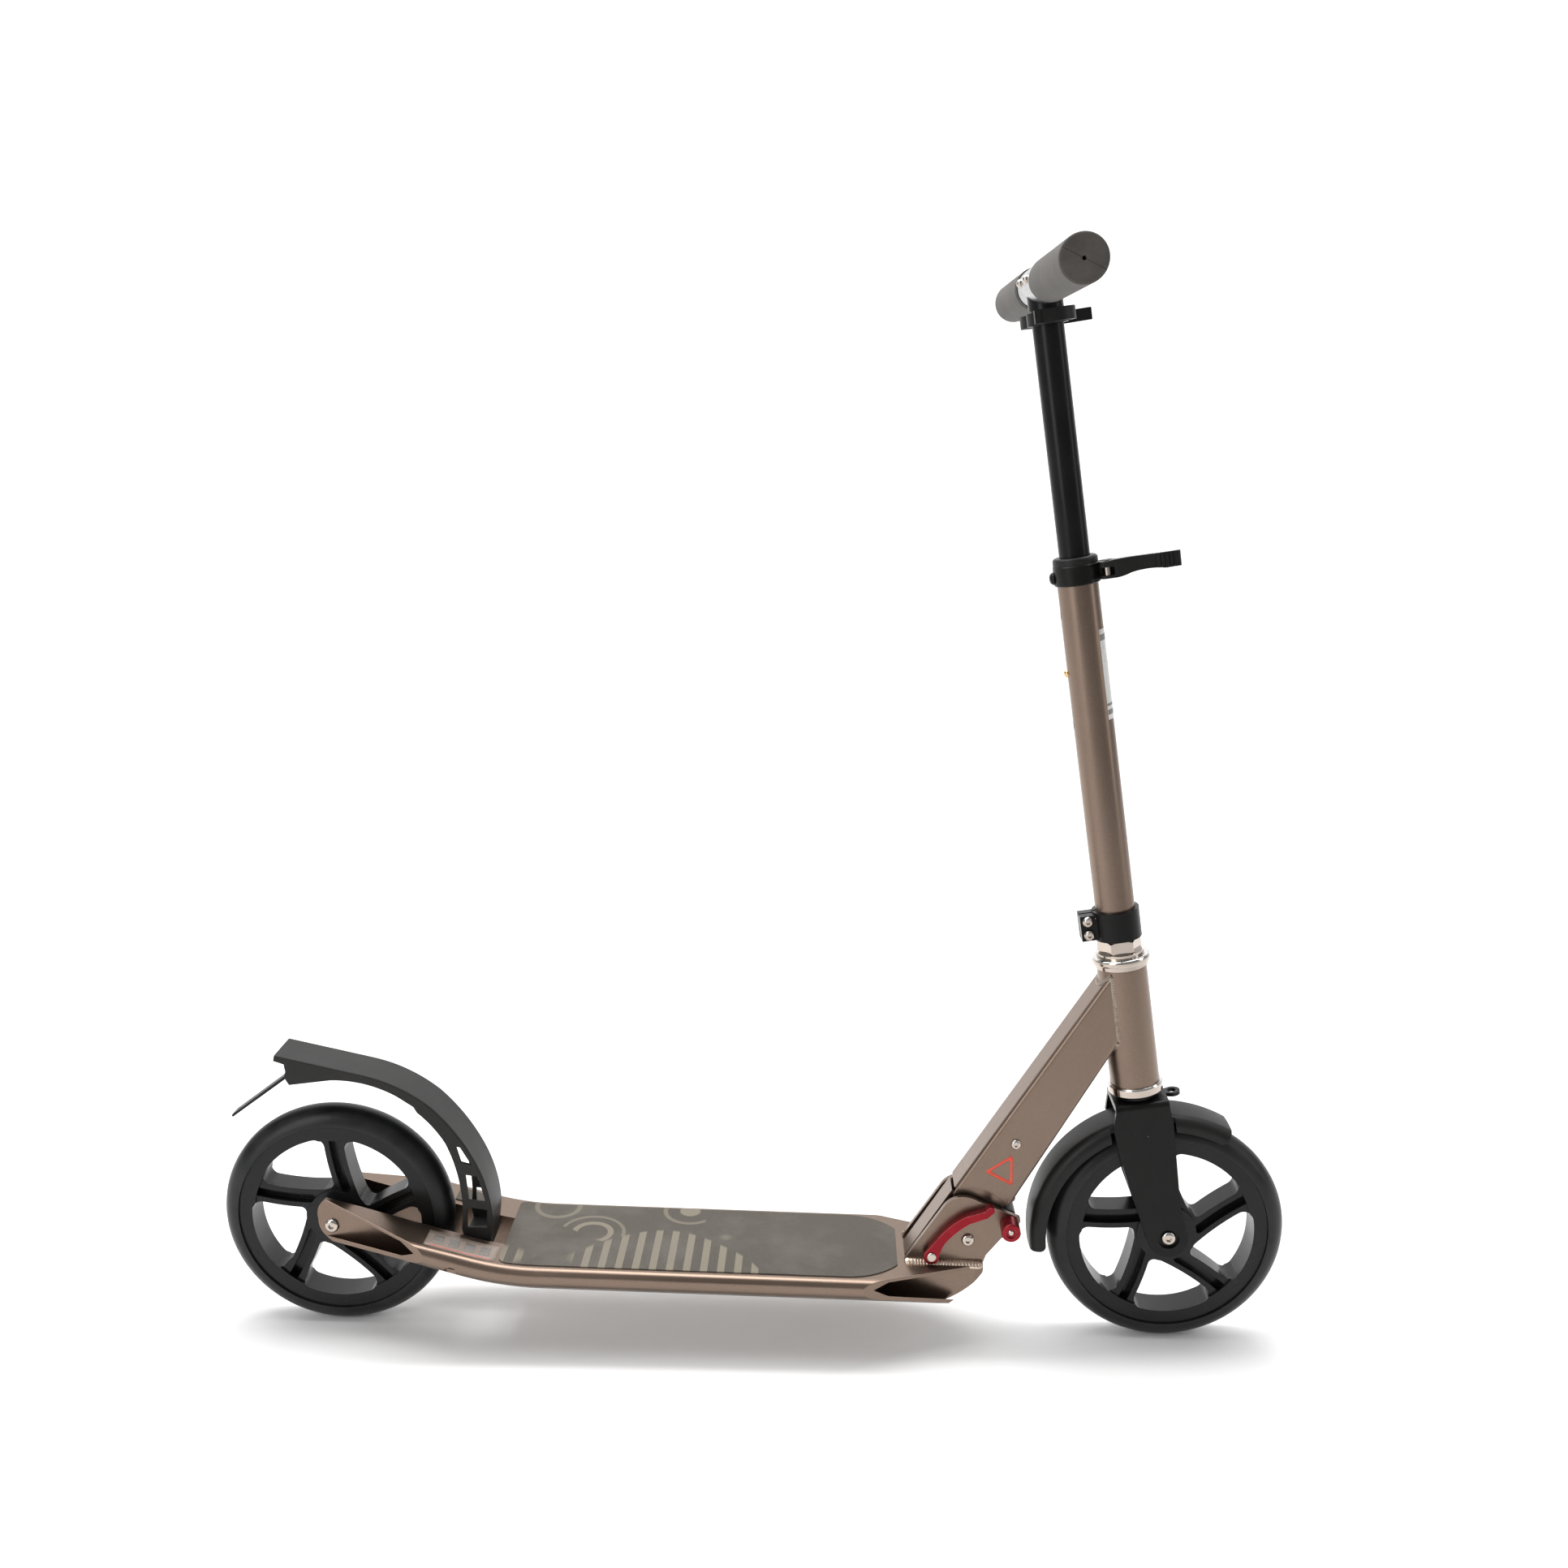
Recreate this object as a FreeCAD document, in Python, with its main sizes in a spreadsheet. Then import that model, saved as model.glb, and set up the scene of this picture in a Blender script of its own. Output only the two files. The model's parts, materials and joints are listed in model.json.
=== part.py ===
import FreeCAD, Part

import math
import os

import Sketcher

# Kick scooter. Millimetres, X forward, Y to the rider's left, Z up.
# The origin is on the ground, midway between the two axles.

V = FreeCAD.Vector

SIZES = {
    "wheelbase": 710,
    "wheel_radius": 100,
    "tyre_width": 30,
    "rim_radius": 85,
    "rim_width": 26,
    "window_radius": 73.5,
    "hub_radius": 24,
    "spoke_width": 17,
    "spoke_thickness": 22,
    "bearing_radius": 11,
    "bearing_width": 7,
    "axle_radius": 4,
    "deck_width": 121,
    "deck_depth": 37,
    "deck_skin": 2.8,
    "deck_rail_outer": 26,
    "deck_rail_inner": 22.5,
    "tape_width": 104,
    "tape_thickness": 0.8,
    "bracket_inner": 17.5,
    "bracket_outer": 22,
    "neck_width": 34,
    "neck_wall": 2.3,
    "head_radius": 20.3,
    "head_bottom": 136,
    "head_top": 238.4,
    "steerer_radius": 13.95,
    "steerer_wall": 1.55,
    "column_radius": 16,
    "column_wall": 2,
    "column_bottom": 263.6,
    "column_top": 569,
    "upper_tube_radius": 12,
    "upper_tube_wall": 1.8,
    "bar_height": 780.3,
    "grip_radius": 16.2,
    "grip_start": 43.3,
    "grip_end": 200,
    "grip_tube_radius": 11,
    "fork_width": 46,
    "fork_gap": 36,
    "fender_width": 39,
    "mudguard_radius": 111,
    "mudguard_width": 43,
    "mudguard_wall": 3,
}

LEAN = 9.12
STEERING_X = 344.9
DECK_Z = 77.3
DECK_TILT = 1.09
TAIL_RISE = 14.6
FOLD_X = 186.3
FOLD_Z = 95.5
NECK_ANGLE = 57.7
LOCK_X = 220.7
LOCK_Z = 110.9
LOCK_TRAVEL = 3.5
LEVER_X = 155.5
LEVER_Z = 82.9
NECK_SCREW_X = 224.4
NECK_SCREW_Z = 181.3
BRAKE_X = -232
BRAKE_Z = 75

doc = FreeCAD.newDocument("KickScooter")
sheet = doc.addObject("Spreadsheet::Sheet", "Size")
for row, (alias, value) in enumerate(SIZES.items(), start=1):
    sheet.set("A%d" % row, str(value))
    sheet.setAlias("A%d" % row, alias)
doc.recompute()

# An axle stands one wheel radius up, and half the wheelbase from the middle.
WHEEL_Z = sheet.get("wheel_radius")
HALF_BASE = sheet.get("wheelbase") / 2
GROUND = FreeCAD.Placement()
STEERING = FreeCAD.Placement(V(STEERING_X, 0, WHEEL_Z), FreeCAD.Rotation(V(0, 1, 0), -LEAN))
DECK = FreeCAD.Placement(V(0, 0, DECK_Z), FreeCAD.Rotation(V(0, 1, 0), DECK_TILT))
ON_XZ = FreeCAD.Rotation(V(1, 0, 0), 90)
ON_YZ = FreeCAD.Rotation(V(1, 1, 1), 120)

nodes = {}


# ---------------------------------------------------------------- helpers

def number(value):
    """Present value of a plain number or of an expression on the size sheet."""
    if isinstance(value, str):
        return float(sheet.evalExpression(value))
    return float(value)


def bind(thing, name, value):
    """Set a property, as an expression when it comes from the size sheet."""
    setattr(thing, name, number(value))
    if isinstance(value, str):
        thing.setExpression(name, value)


def opposite(value):
    """The same number or expression with its sign changed."""
    if isinstance(value, str):
        return "-(%s)" % value
    return -value


def span(low, high):
    """Distance from low to high as a number or an expression."""
    if isinstance(low, str) or isinstance(high, str):
        return "(%s) - (%s)" % (high, low)
    return high - low


def at(place, x=0, y=0, z=0):
    """A frame moved by (x, y, z) along its own axes."""
    return place.multiply(FreeCAD.Placement(V(x, y, z), FreeCAD.Rotation()))


def keep(name, thing, place=GROUND):
    """Register one sub-part under its node name."""
    thing.Label = name
    if place is not GROUND:
        thing.Placement = place
    nodes[name] = thing
    return thing


def dimension(sketch, kind, edge, end, value):
    """Hold one coordinate of an edge end, bound to the sheet if it is an expression."""
    rule = Sketcher.Constraint(kind, -1, 1, edge, end, number(value))
    index = sketch.addConstraint(rule)
    if isinstance(value, str):
        sketch.setExpression("Constraints[%d]" % index, value)


def draw_loop(sketch, points):
    """Closed loop. A point is (u, v), or (u, v, via_u, via_v) where an arc leaves it."""
    ends = []
    for point, after in zip(points, points[1:] + points[:1]):
        start = V(number(point[0]), number(point[1]), 0)
        finish = V(number(after[0]), number(after[1]), 0)
        if len(point) == 4:
            bend = Part.Arc(start, V(number(point[2]), number(point[3]), 0), finish)
            edge = sketch.addGeometry(bend, False)
            radius = sketch.Geometry[edge].Radius
            # A half circle is already held by its two ends.
            if start.distanceToPoint(finish) < 1.9 * radius:
                sketch.addConstraint(Sketcher.Constraint("Radius", edge, radius))
            turned_round = sketch.getPoint(edge, 1).distanceToPoint(start) > 1e-6
            ends.append((edge, 2, 1) if turned_round else (edge, 1, 2))
        else:
            edge = sketch.addGeometry(Part.LineSegment(start, finish), False)
            ends.append((edge, 1, 2))
    for here, before, point in zip(ends, ends[-1:] + ends[:-1], points):
        sketch.addConstraint(Sketcher.Constraint("Coincident", before[0], before[2], here[0], here[1]))
        dimension(sketch, "DistanceX", here[0], here[1], point[0])
        dimension(sketch, "DistanceY", here[0], here[1], point[1])


def draw_circle(sketch, u, v, radius):
    """Circle held by its centre and radius."""
    circle = Part.Circle(V(number(u), number(v), 0), V(0, 0, 1), number(radius))
    edge = sketch.addGeometry(circle, False)
    dimension(sketch, "DistanceX", edge, 3, u)
    dimension(sketch, "DistanceY", edge, 3, v)
    index = sketch.addConstraint(Sketcher.Constraint("Radius", edge, number(radius)))
    if isinstance(radius, str):
        sketch.setExpression("Constraints[%d]" % index, radius)


def draw(sketch, loops):
    """Loops are point lists; a triple of centre and radius is a circle."""
    for loop in loops:
        if isinstance(loop, tuple):
            draw_circle(sketch, *loop)
        else:
            draw_loop(sketch, loop)


def new_body(name):
    return doc.addObject("PartDesign::Body", name)


def body_sketch(body, role, loops, offset=0):
    """Sketch on a base plane of the body, moved along the plane's normal."""
    plane = [item for item in body.Origin.OriginFeatures if item.Role == role][0]
    sketch = body.newObject("Sketcher::SketchObject", body.Name + "_sketch")
    sketch.AttachmentSupport = [(plane, "")]
    sketch.MapMode = "FlatFace"
    sketch.AttachmentOffset = FreeCAD.Placement(V(0, 0, number(offset)), FreeCAD.Rotation())
    if isinstance(offset, str):
        sketch.setExpression(".AttachmentOffset.Base.z", offset)
    draw(sketch, loops)
    return sketch


def pad(body, loops, low, high, role="XZ_Plane"):
    """Pad an outline from low to high across its plane (Y for XZ, Z for XY, X for YZ)."""
    offset = opposite(high) if role == "XZ_Plane" else low
    feature = body.newObject("PartDesign::Pad", body.Name + "_pad")
    feature.Profile = body_sketch(body, role, loops, offset)
    bind(feature, "Length", span(low, high))
    doc.recompute()
    return feature


def pocket(body, loops, low, high, role="XZ_Plane"):
    """Pocket an outline from low to high across its plane; it has to remove material."""
    before = body.Shape.Volume
    offset = opposite(low) if role == "XZ_Plane" else high
    feature = body.newObject("PartDesign::Pocket", body.Name + "_pocket")
    feature.Profile = body_sketch(body, role, loops, offset)
    bind(feature, "Length", span(low, high))
    doc.recompute()
    if not body.Shape.Volume < before - 0.01:
        raise RuntimeError("pocket removed nothing from " + body.Name)
    return feature


def extruded(name, loops, low, high, role="XZ_Plane"):
    """Body padded from one outline."""
    body = new_body(name)
    pad(body, loops, low, high, role)
    return body


def turned(name, loops, axis="Z"):
    """Body turned about Z from (radius, height) loops, or about Y from (along, radius) loops."""
    body = new_body(name)
    role, line = ("XZ_Plane", "V_Axis") if axis == "Z" else ("YZ_Plane", "H_Axis")
    sketch = body_sketch(body, role, loops)
    feature = body.newObject("PartDesign::Revolution", name + "_turn")
    feature.Profile = sketch
    feature.ReferenceAxis = (sketch, [line])
    feature.Angle = 360
    doc.recompute()
    return body


def fillet(body, radius, chosen):
    """Round the edges of the body that pass the test."""
    base = body.Tip
    names = ["Edge%d" % (i + 1) for i, edge in enumerate(base.Shape.Edges) if chosen(edge)]
    feature = body.newObject("PartDesign::Fillet", body.Name + "_fillet")
    feature.Base = (base, names)
    feature.Radius = radius
    doc.recompute()
    return feature


def rect(u1, v1, u2, v2):
    return [(u1, v1), (u2, v1), (u2, v2), (u1, v2)]


def cylinder(radius, length, base, direction):
    """Round bar from a base point along a direction."""
    bar = doc.addObject("Part::Cylinder", "bar")
    bind(bar, "Radius", radius)
    bind(bar, "Height", length)
    bar.Placement = FreeCAD.Placement(V(*base), FreeCAD.Rotation(V(0, 0, 1), V(*direction)))
    return bar


def block(low, high):
    """Box between two opposite corners."""
    solid = doc.addObject("Part::Box", "block")
    solid.Length = high[0] - low[0]
    solid.Width = high[1] - low[1]
    solid.Height = high[2] - low[2]
    solid.Placement.Base = V(*low)
    return solid


def hexagon(across_corners, length, base, direction):
    """Hexagonal bar from a base point along a direction."""
    bar = doc.addObject("Part::Prism", "hexagon")
    bar.Polygon = 6
    bar.Circumradius = across_corners / 2
    bar.Height = length
    bar.Placement = FreeCAD.Placement(V(*base), FreeCAD.Rotation(V(0, 0, 1), V(*direction)))
    return bar


def prism(loops, low, high, role="XZ"):
    """Cutting prism from an outline in the XZ, XY or YZ plane, between two levels."""
    sketch = doc.addObject("Sketcher::SketchObject", "outline")
    turn = {"XZ": ON_XZ, "YZ": ON_YZ, "XY": FreeCAD.Rotation()}[role]
    along = {"XZ": V(0, 1, 0), "YZ": V(1, 0, 0), "XY": V(0, 0, 1)}[role]
    sketch.Placement = FreeCAD.Placement(along * low, turn)
    draw(sketch, loops)
    solid = doc.addObject("Part::Extrusion", "prism")
    solid.Base = sketch
    solid.DirMode = "Custom"
    solid.Dir = along
    solid.LengthFwd = high - low
    solid.Solid = True
    return solid


def fused(name, members):
    result = doc.addObject("Part::MultiFuse", name)
    result.Shapes = members
    result.Refine = True
    return result


def cut(name, base, tools):
    """The base less every tool."""
    result = doc.addObject("Part::Cut", name)
    result.Base = base
    result.Tool = tools[0] if len(tools) == 1 else fused("tools", tools)
    result.Refine = True
    return result


def group(name, members):
    """Separate solids kept together as one sub-part."""
    result = doc.addObject("Part::Compound", name)
    result.Links = members
    return result


def ring(name, inner, outer, low, high):
    """Plain tube about Z."""
    return turned(name, [rect(inner, low, outer, high)])


def screw(name, side, seat, head, shank, socket):
    """Domed socket screw along Y. side -1 has its head towards -Y.

    seat is the Y of the face under the head; head is (radius, height) and
    shank is (radius, length); socket is the width of the hexagon across corners.
    """
    radius, height = head
    top = seat + side * height
    profile = [
        (seat, shank[0]), (seat, radius, seat + side * height * 0.75, radius * 0.86),
        (top, radius * 0.6), (top, 0), (seat - side * shank[1], 0), (seat - side * shank[1], shank[0]),
    ]
    body = turned(name, [profile], "Y")
    recess = hexagon(socket, height, (0, top - side * height * 0.6, 0), (0, side, 0))
    return cut(name, body, [recess])


# ---------------------------------------------------------------- wheels

def polar(radius, degrees):
    return (radius * math.cos(math.radians(degrees)), radius * math.sin(math.radians(degrees)))


def circle_through(a, b, c):
    """Centre and radius of the circle through three points."""
    arc = Part.Arc(V(*a, 0), V(*b, 0), V(*c, 0)).toShape().Curve
    return (arc.Center.x, arc.Center.y), arc.Radius


def meeting(c1, r1, c2, r2, near):
    """Meeting point of two circles that lies nearer to a given point."""
    first, second = V(*c1, 0), V(*c2, 0)
    gap = first.distanceToPoint(second)
    along = (gap * gap + r1 * r1 - r2 * r2) / (2 * gap)
    height = math.sqrt(r1 * r1 - along * along)
    unit = (second - first).normalize()
    side = V(-unit.y, unit.x, 0)
    ends = [first + unit * along + side * height, first + unit * along - side * height]
    best = min(ends, key=lambda end: end.distanceToPoint(V(*near, 0)))
    return (best.x, best.y)


def towards(centre, point, radius):
    """Point on a circle in the direction of another point."""
    arm = V(point[0] - centre[0], point[1] - centre[1], 0).normalize() * radius
    return (centre[0] + arm.x, centre[1] + arm.y)


def window_outline(tip):
    """Opening between the spoke whose tip points at `tip` degrees and the next one."""
    half = number("Size.spoke_width") / 2
    rim = number("Size.window_radius")
    hub = number("Size.hub_radius") + 3
    bends = []
    for start, side in ((tip, 1), (tip + 72, -1)):
        centre, radius = circle_through(polar(24.5, start - 24), polar(45, start - 5), polar(72, start))
        bends.append((centre, radius, side))
    corners = []
    for (centre, radius, side), angle in zip(bends, (tip + 8, tip + 64)):
        edge = radius + side * half
        centre_out = meeting(centre, edge + side * 8, (0, 0), rim - 8, polar(rim, angle))
        centre_in = meeting(centre, edge + side * 5, (0, 0), hub + 5, polar(hub, angle - 22))
        corners.append((centre, edge, side, centre_out, centre_in))
    first, second = corners
    outline = []

    def add(point, via=None):
        outline.append(point if via is None else (*point, *via))

    def spoke_points(corner):
        centre, edge, side, centre_out, centre_in = corner
        outer = towards(centre, centre_out, edge)
        inner = towards(centre, centre_in, edge)
        middle = towards(centre, ((outer[0] + inner[0]) / 2, (outer[1] + inner[1]) / 2), edge)
        return outer, middle, inner

    def corner_via(centre, radius, a, b):
        middle = ((a[0] + b[0]) / 2, (a[1] + b[1]) / 2)
        return towards(centre, middle, radius)

    outer1, middle1, inner1 = spoke_points(first)
    outer2, middle2, inner2 = spoke_points(second)
    rim1 = towards((0, 0), first[3], rim)
    rim2 = towards((0, 0), second[3], rim)
    hub1 = towards((0, 0), first[4], hub)
    hub2 = towards((0, 0), second[4], hub)
    add(inner1, middle1)
    add(outer1, corner_via(first[3], 8, outer1, rim1))
    add(rim1, towards((0, 0), (rim1[0] + rim2[0], rim1[1] + rim2[1]), rim))
    add(rim2, corner_via(second[3], 8, rim2, outer2))
    add(outer2, middle2)
    add(inner2, corner_via(second[4], 5, inner2, hub2))
    add(hub2, towards((0, 0), (hub1[0] + hub2[0], hub1[1] + hub2[1]), hub))
    add(hub1, corner_via(first[4], 5, hub1, inner1))
    return outline


def channel_outline(tip):
    """Round-ended channel sunk along a spoke."""
    centre, radius = circle_through(polar(24.5, tip - 24), polar(45, tip - 5), polar(72, tip))
    start = towards(centre, polar(28, tip - 20), radius)
    finish = towards(centre, polar(71, tip), radius)
    middle = towards(centre, polar(48, tip - 4), radius)
    half = 4
    sides = {}
    for name, step in (("left", -half), ("right", half)):
        sides[name] = [towards(centre, point, radius + step) for point in (start, middle, finish)]
    left, right = sides["left"], sides["right"]
    run_out = V(finish[0] - middle[0], finish[1] - middle[1], 0).normalize() * half
    run_in = V(start[0] - middle[0], start[1] - middle[1], 0).normalize() * half
    return [
        (*left[0], *left[1]), (*left[2], finish[0] + run_out.x, finish[1] + run_out.y),
        (*right[2], *right[1]), (*right[0], start[0] + run_in.x, start[1] + run_in.y),
    ]


def wheel(prefix, x, tip):
    """Rim, tyre and bearings of one wheel. tip is the angle of the first spoke's outer end."""
    place = FreeCAD.Placement(V(x, 0, WHEEL_Z), FreeCAD.Rotation())
    half = "Size.rim_width / 2"
    rim = new_body(prefix + "_rim")
    pad(rim, [(0, 0, "Size.rim_radius"), (0, 0, "Size.bearing_radius - 2")],
        "-Size.rim_width / 2", half)
    window = pocket(rim, [window_outline(tip)], "-Size.rim_width / 2", half)
    windows = rim.newObject("PartDesign::PolarPattern", prefix + "_windows")
    windows.Originals = [window]
    windows.Axis = (window.Profile[0], ["N_Axis"])
    windows.Angle = 360
    windows.Occurrences = 5
    rim.Tip = windows
    doc.recompute()
    face = "Size.spoke_thickness / 2"
    for side in (-1, 1):
        low = face if side > 0 else opposite(half)
        high = half if side > 0 else opposite(face)
        pocket(rim, [(0, 0, 71.5), (0, 0, "Size.hub_radius + 1")], low, high)
        low = "%s - 7" % face if side > 0 else opposite(face)
        high = face if side > 0 else "7 - %s" % face
        channel = pocket(rim, [channel_outline(tip)], low, high)
        channels = rim.newObject("PartDesign::PolarPattern", prefix + "_channels")
        channels.Originals = [channel]
        channels.Axis = (channel.Profile[0], ["N_Axis"])
        channels.Angle = 360
        channels.Occurrences = 5
        rim.Tip = channels
        doc.recompute()
        inner = "Size.rim_width / 2 - Size.bearing_width"
        low = inner if side > 0 else opposite(half)
        high = half if side > 0 else opposite(inner)
        pocket(rim, [(0, 0, "Size.bearing_radius")], low, high)
    keep(prefix + "_rim", rim, place)

    crown = "Size.tyre_width / 2"
    tyre = turned(prefix + "_tyre", [[
        (opposite(crown), "Size.rim_radius", 0, "Size.wheel_radius"), (crown, "Size.rim_radius"),
    ]], "Y")
    keep(prefix + "_tyre", tyre, place)

    races = []
    for side in (-1, 1):
        inner = "%d * (Size.rim_width / 2 - Size.bearing_width)" % side
        outer = "%d * Size.rim_width / 2" % side
        shield = "%d * (Size.rim_width / 2 - 0.5)" % side
        races.append(turned(prefix + "_bearing", [[
            (inner, "Size.axle_radius + 0.05"), (inner, "Size.bearing_radius"),
            (outer, "Size.bearing_radius"), (outer, 9.6), (shield, 9.4), (shield, 6.2),
            (outer, 6), (outer, "Size.axle_radius + 0.05"),
        ]], "Y"))
    keep(prefix + "_bearings", group(prefix + "_bearings", races), place)


wheel("front", HALF_BASE, 26.1)
wheel("rear", -HALF_BASE, 17.8)


def axle(prefix, x, clamp, head_seat):
    """Axle bolt with nut, and the spacer sleeves between bearings and clamping faces."""
    place = FreeCAD.Placement(V(x, 0, WHEEL_Z), FreeCAD.Rotation())
    bolt = screw(prefix + "_bolt", -1, -head_seat, (6.2, 3.2), (4, 2 * head_seat), 5.4)
    nut = screw(prefix + "_nut", 1, head_seat + 0.05, (6.2, 3.2), (4.05, 0.01), 5.4)
    keep(prefix + "_axle", group(prefix + "_axle", [bolt, nut]), place)
    sleeves = [turned(prefix + "_sleeve", [rect(-5.9, 4.05, 5.9, 6)], "Y")]
    for side in (-1, 1):
        ends = sorted((side * 13.1, side * (clamp - 0.05)))
        sleeves.append(turned(prefix + "_spacer", [rect(ends[0], 4.05, ends[1], 6.5)], "Y"))
    keep(prefix + "_axle_spacers", group(prefix + "_axle_spacers", sleeves), place)


axle("rear", -HALF_BASE, 22.5, 26)
axle("front", HALF_BASE, 18, 20.5)


# ---------------------------------------------------------------- deck

def swept(profile, label):
    """Profile in the deck's cross-section carried along the deck's bent centre line."""
    rise = math.radians(TAIL_RISE)
    tangent = 30
    corner = -206.6
    bend = tangent / math.tan(rise / 2)
    straight = Part.LineSegment(V(200, 0, 0), V(corner + tangent, 0, 0))
    middle = V(corner + tangent - bend * math.sin(rise / 2), bend * (1 - math.cos(rise / 2)), 0)
    after = V(corner - tangent * math.cos(rise), tangent * math.sin(rise), 0)
    end = V(corner - 175 * math.cos(rise), 175 * math.sin(rise), 0)
    path = doc.addObject("Sketcher::SketchObject", label + "_path")
    path.Placement = FreeCAD.Placement(V(0, 0, 0), ON_XZ)
    path.addGeometry(straight, False)
    path.addGeometry(Part.Arc(V(corner + tangent, 0, 0), middle, after), False)
    path.addGeometry(Part.LineSegment(after, end), False)
    section = doc.addObject("Sketcher::SketchObject", label + "_section")
    section.Placement = FreeCAD.Placement(V(200, 0, 0), ON_YZ)
    draw(section, [profile])
    doc.recompute()
    solid = doc.addObject("Part::Sweep", label)
    solid.Sections = [section]
    solid.Spine = (path, ["Edge1", "Edge2", "Edge3"])
    solid.Solid = True
    solid.Frenet = False
    doc.recompute()
    return solid


edge = "Size.deck_width / 2"
bottom = "-Size.deck_depth"
outer_profile = [
    ("-(%s) + 6.5" % edge, 0), ("%s - 6.5" % edge, 0, "%s - 1.4" % edge, -2.7),
    (edge, -8, "%s - 1.4" % edge, -13.8), ("%s - 6.5" % edge, -18.5),
    (27, "%s + 1" % bottom), (24, bottom), (-24, bottom), (-27, "%s + 1" % bottom),
    ("-(%s) + 6.5" % edge, -18.5, "-(%s) + 1.4" % edge, -13.8),
    ("-(%s)" % edge, -8, "-(%s) + 1.4" % edge, -2.7),
]
top_skin = "-Size.deck_skin"
rail_in = "Size.deck_rail_inner"
rail_out = "Size.deck_rail_outer"
centre_void = [
    ("-%s" % rail_in, top_skin), (rail_in, top_skin),
    (rail_in, "%s + Size.deck_skin" % bottom), ("-%s" % rail_in, "%s + Size.deck_skin" % bottom),
]
wing_void = [
    (rail_out, top_skin), ("%s - 7.5" % edge, top_skin), ("%s - 3" % edge, -8),
    ("%s - 7.5" % edge, -15.5), (rail_out, -32.8),
]
other_wing_void = [(opposite(u), v) for u, v in wing_void]
deck_blank = swept(outer_profile, "deck_blank")
deck_voids = [swept(loop, "deck_void") for loop in (centre_void, wing_void, other_wing_void)]
for part in [deck_blank] + deck_voids:
    part.Placement = DECK

wheel_slot = block((-420, -22.5, 20), (-207, 22.5, 200))
rear_taper = [(-268, 61), (-360, 26), (-420, 26), (-420, 80), (-268, 80)]
front_taper = [(97, 61), (200.5, 23), (230, 23), (230, 80), (97, 80)]
tapers = []
for loop in (rear_taper, front_taper):
    for side in (1, -1):
        tapers.append(prism([[(x, side * y) for x, y in loop]], 0, 200, "XY"))
rail_ends = prism([[
    (-430, 40), (-352, 40), (-351, 84.9, -361.5, 91), (-366.5, 106, -366, 116),
    (-359.5, 124.2), (-357, 150), (-430, 150),
]], -70, 70)
nose_belly = prism([[
    (150, 20), (150, 36), (157, 37, 180, 48), (199.2, 65.5, 200.1, 68.5), (200.4, 72), (230, 72), (230, 20),
]], -70, 70)
axle_holes = cylinder("Size.axle_radius", 80, (-HALF_BASE, -40, WHEEL_Z), (0, 1, 0))
pin_holes = cylinder(3, 80, (BRAKE_X, -40, BRAKE_Z), (0, 1, 0))
side_hole = cylinder(6, 14, (-247, -64, 76), (0, 1, 0))
deck = cut("deck", deck_blank, deck_voids + [
    wheel_slot, rail_ends, nose_belly, axle_holes, pin_holes, side_hole] + tapers)
keep("deck", deck)

tape_half = "Size.tape_width / 2"
tape_blank = swept([
    (opposite(tape_half), 0), (tape_half, 0),
    (tape_half, "Size.tape_thickness"), (opposite(tape_half), "Size.tape_thickness"),
], "tape_blank")
tape_blank.Placement = DECK
main_panel = [
    (-200, -52, -206, -50), (-208, -44), (-208, 44, -206, 50), (-200, 52),
    (84, 52, 108, 46), (127, 30), (127, -30, 108, -46), (84, -52),
]
far_patch = [(-307, 29), (-290, 29), (-290, 38), (-307, 38)]
mid_patch = [(-262, 29), (-236, 29), (-236, 50), (-262, 50)]
tape_outline = fused("tape_outline", [
    prism([loop], 60, 140, "XY") for loop in (main_panel, far_patch, mid_patch)])
tape = doc.addObject("Part::MultiCommon", "grip_tape")
tape.Shapes = [tape_blank, tape_outline]
keep("grip_tape", tape)


def deck_top(x):
    """Height of the deck's top face on its straight part."""
    return DECK_Z - x * math.tan(math.radians(DECK_TILT))


# ---------------------------------------------------------------- folding bracket on the deck

def along_neck(t, d):
    """World (x, z) of a point t along the neck and d behind the folding axis."""
    angle = math.radians(NECK_ANGLE)
    x = FOLD_X + t * math.cos(angle) - d * math.sin(angle)
    z = FOLD_Z + t * math.sin(angle) + d * math.cos(angle)
    return (x, z)


side_outline = [
    (133, deck_top(133)), (135.3, 79.8), (164.3, 123.9, 179.5, 134.4), (193.5, 131.4),
    (226.4, 117.7, 230, 115), (229.4, 111.6), (213.7, 96.3), (202, 81.4), (199.4, deck_top(199.4)),
]
rod_slot = [
    (LOCK_X, LOCK_Z + 2.7, LOCK_X - 2.7, LOCK_Z), (LOCK_X, LOCK_Z - 2.7),
    (LOCK_X + LOCK_TRAVEL, LOCK_Z - 2.7, LOCK_X + LOCK_TRAVEL + 2.7, LOCK_Z),
    (LOCK_X + LOCK_TRAVEL, LOCK_Z + 2.7),
]
near_plate = extruded("near_plate", [side_outline, (FOLD_X, FOLD_Z, 4), rod_slot, (LEVER_X, LEVER_Z, 3)],
                      "-Size.bracket_outer", "-Size.bracket_inner")
far_plate = extruded("far_plate", [side_outline, (FOLD_X, FOLD_Z, 4), rod_slot],
                     "Size.bracket_inner", "Size.bracket_outer")
plate_foot = (deck_top(135) - FOLD_Z - 33.5 * math.cos(math.radians(NECK_ANGLE)))
plate_foot = plate_foot / math.sin(math.radians(NECK_ANGLE))
foot = along_neck(plate_foot, 33.5)
foot_front = along_neck(plate_foot, 31.3)
back_plate = extruded("back_plate", [[
    foot, along_neck(27, 33.5), along_neck(27, 31.3),
    (foot_front[0], foot[1] + 1.2), (foot_front[0], deck_top(foot_front[0])),
]], -12.1, 12.1)
keep("fold_bracket", group("fold_bracket", [near_plate, far_plate, back_plate]))

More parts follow.
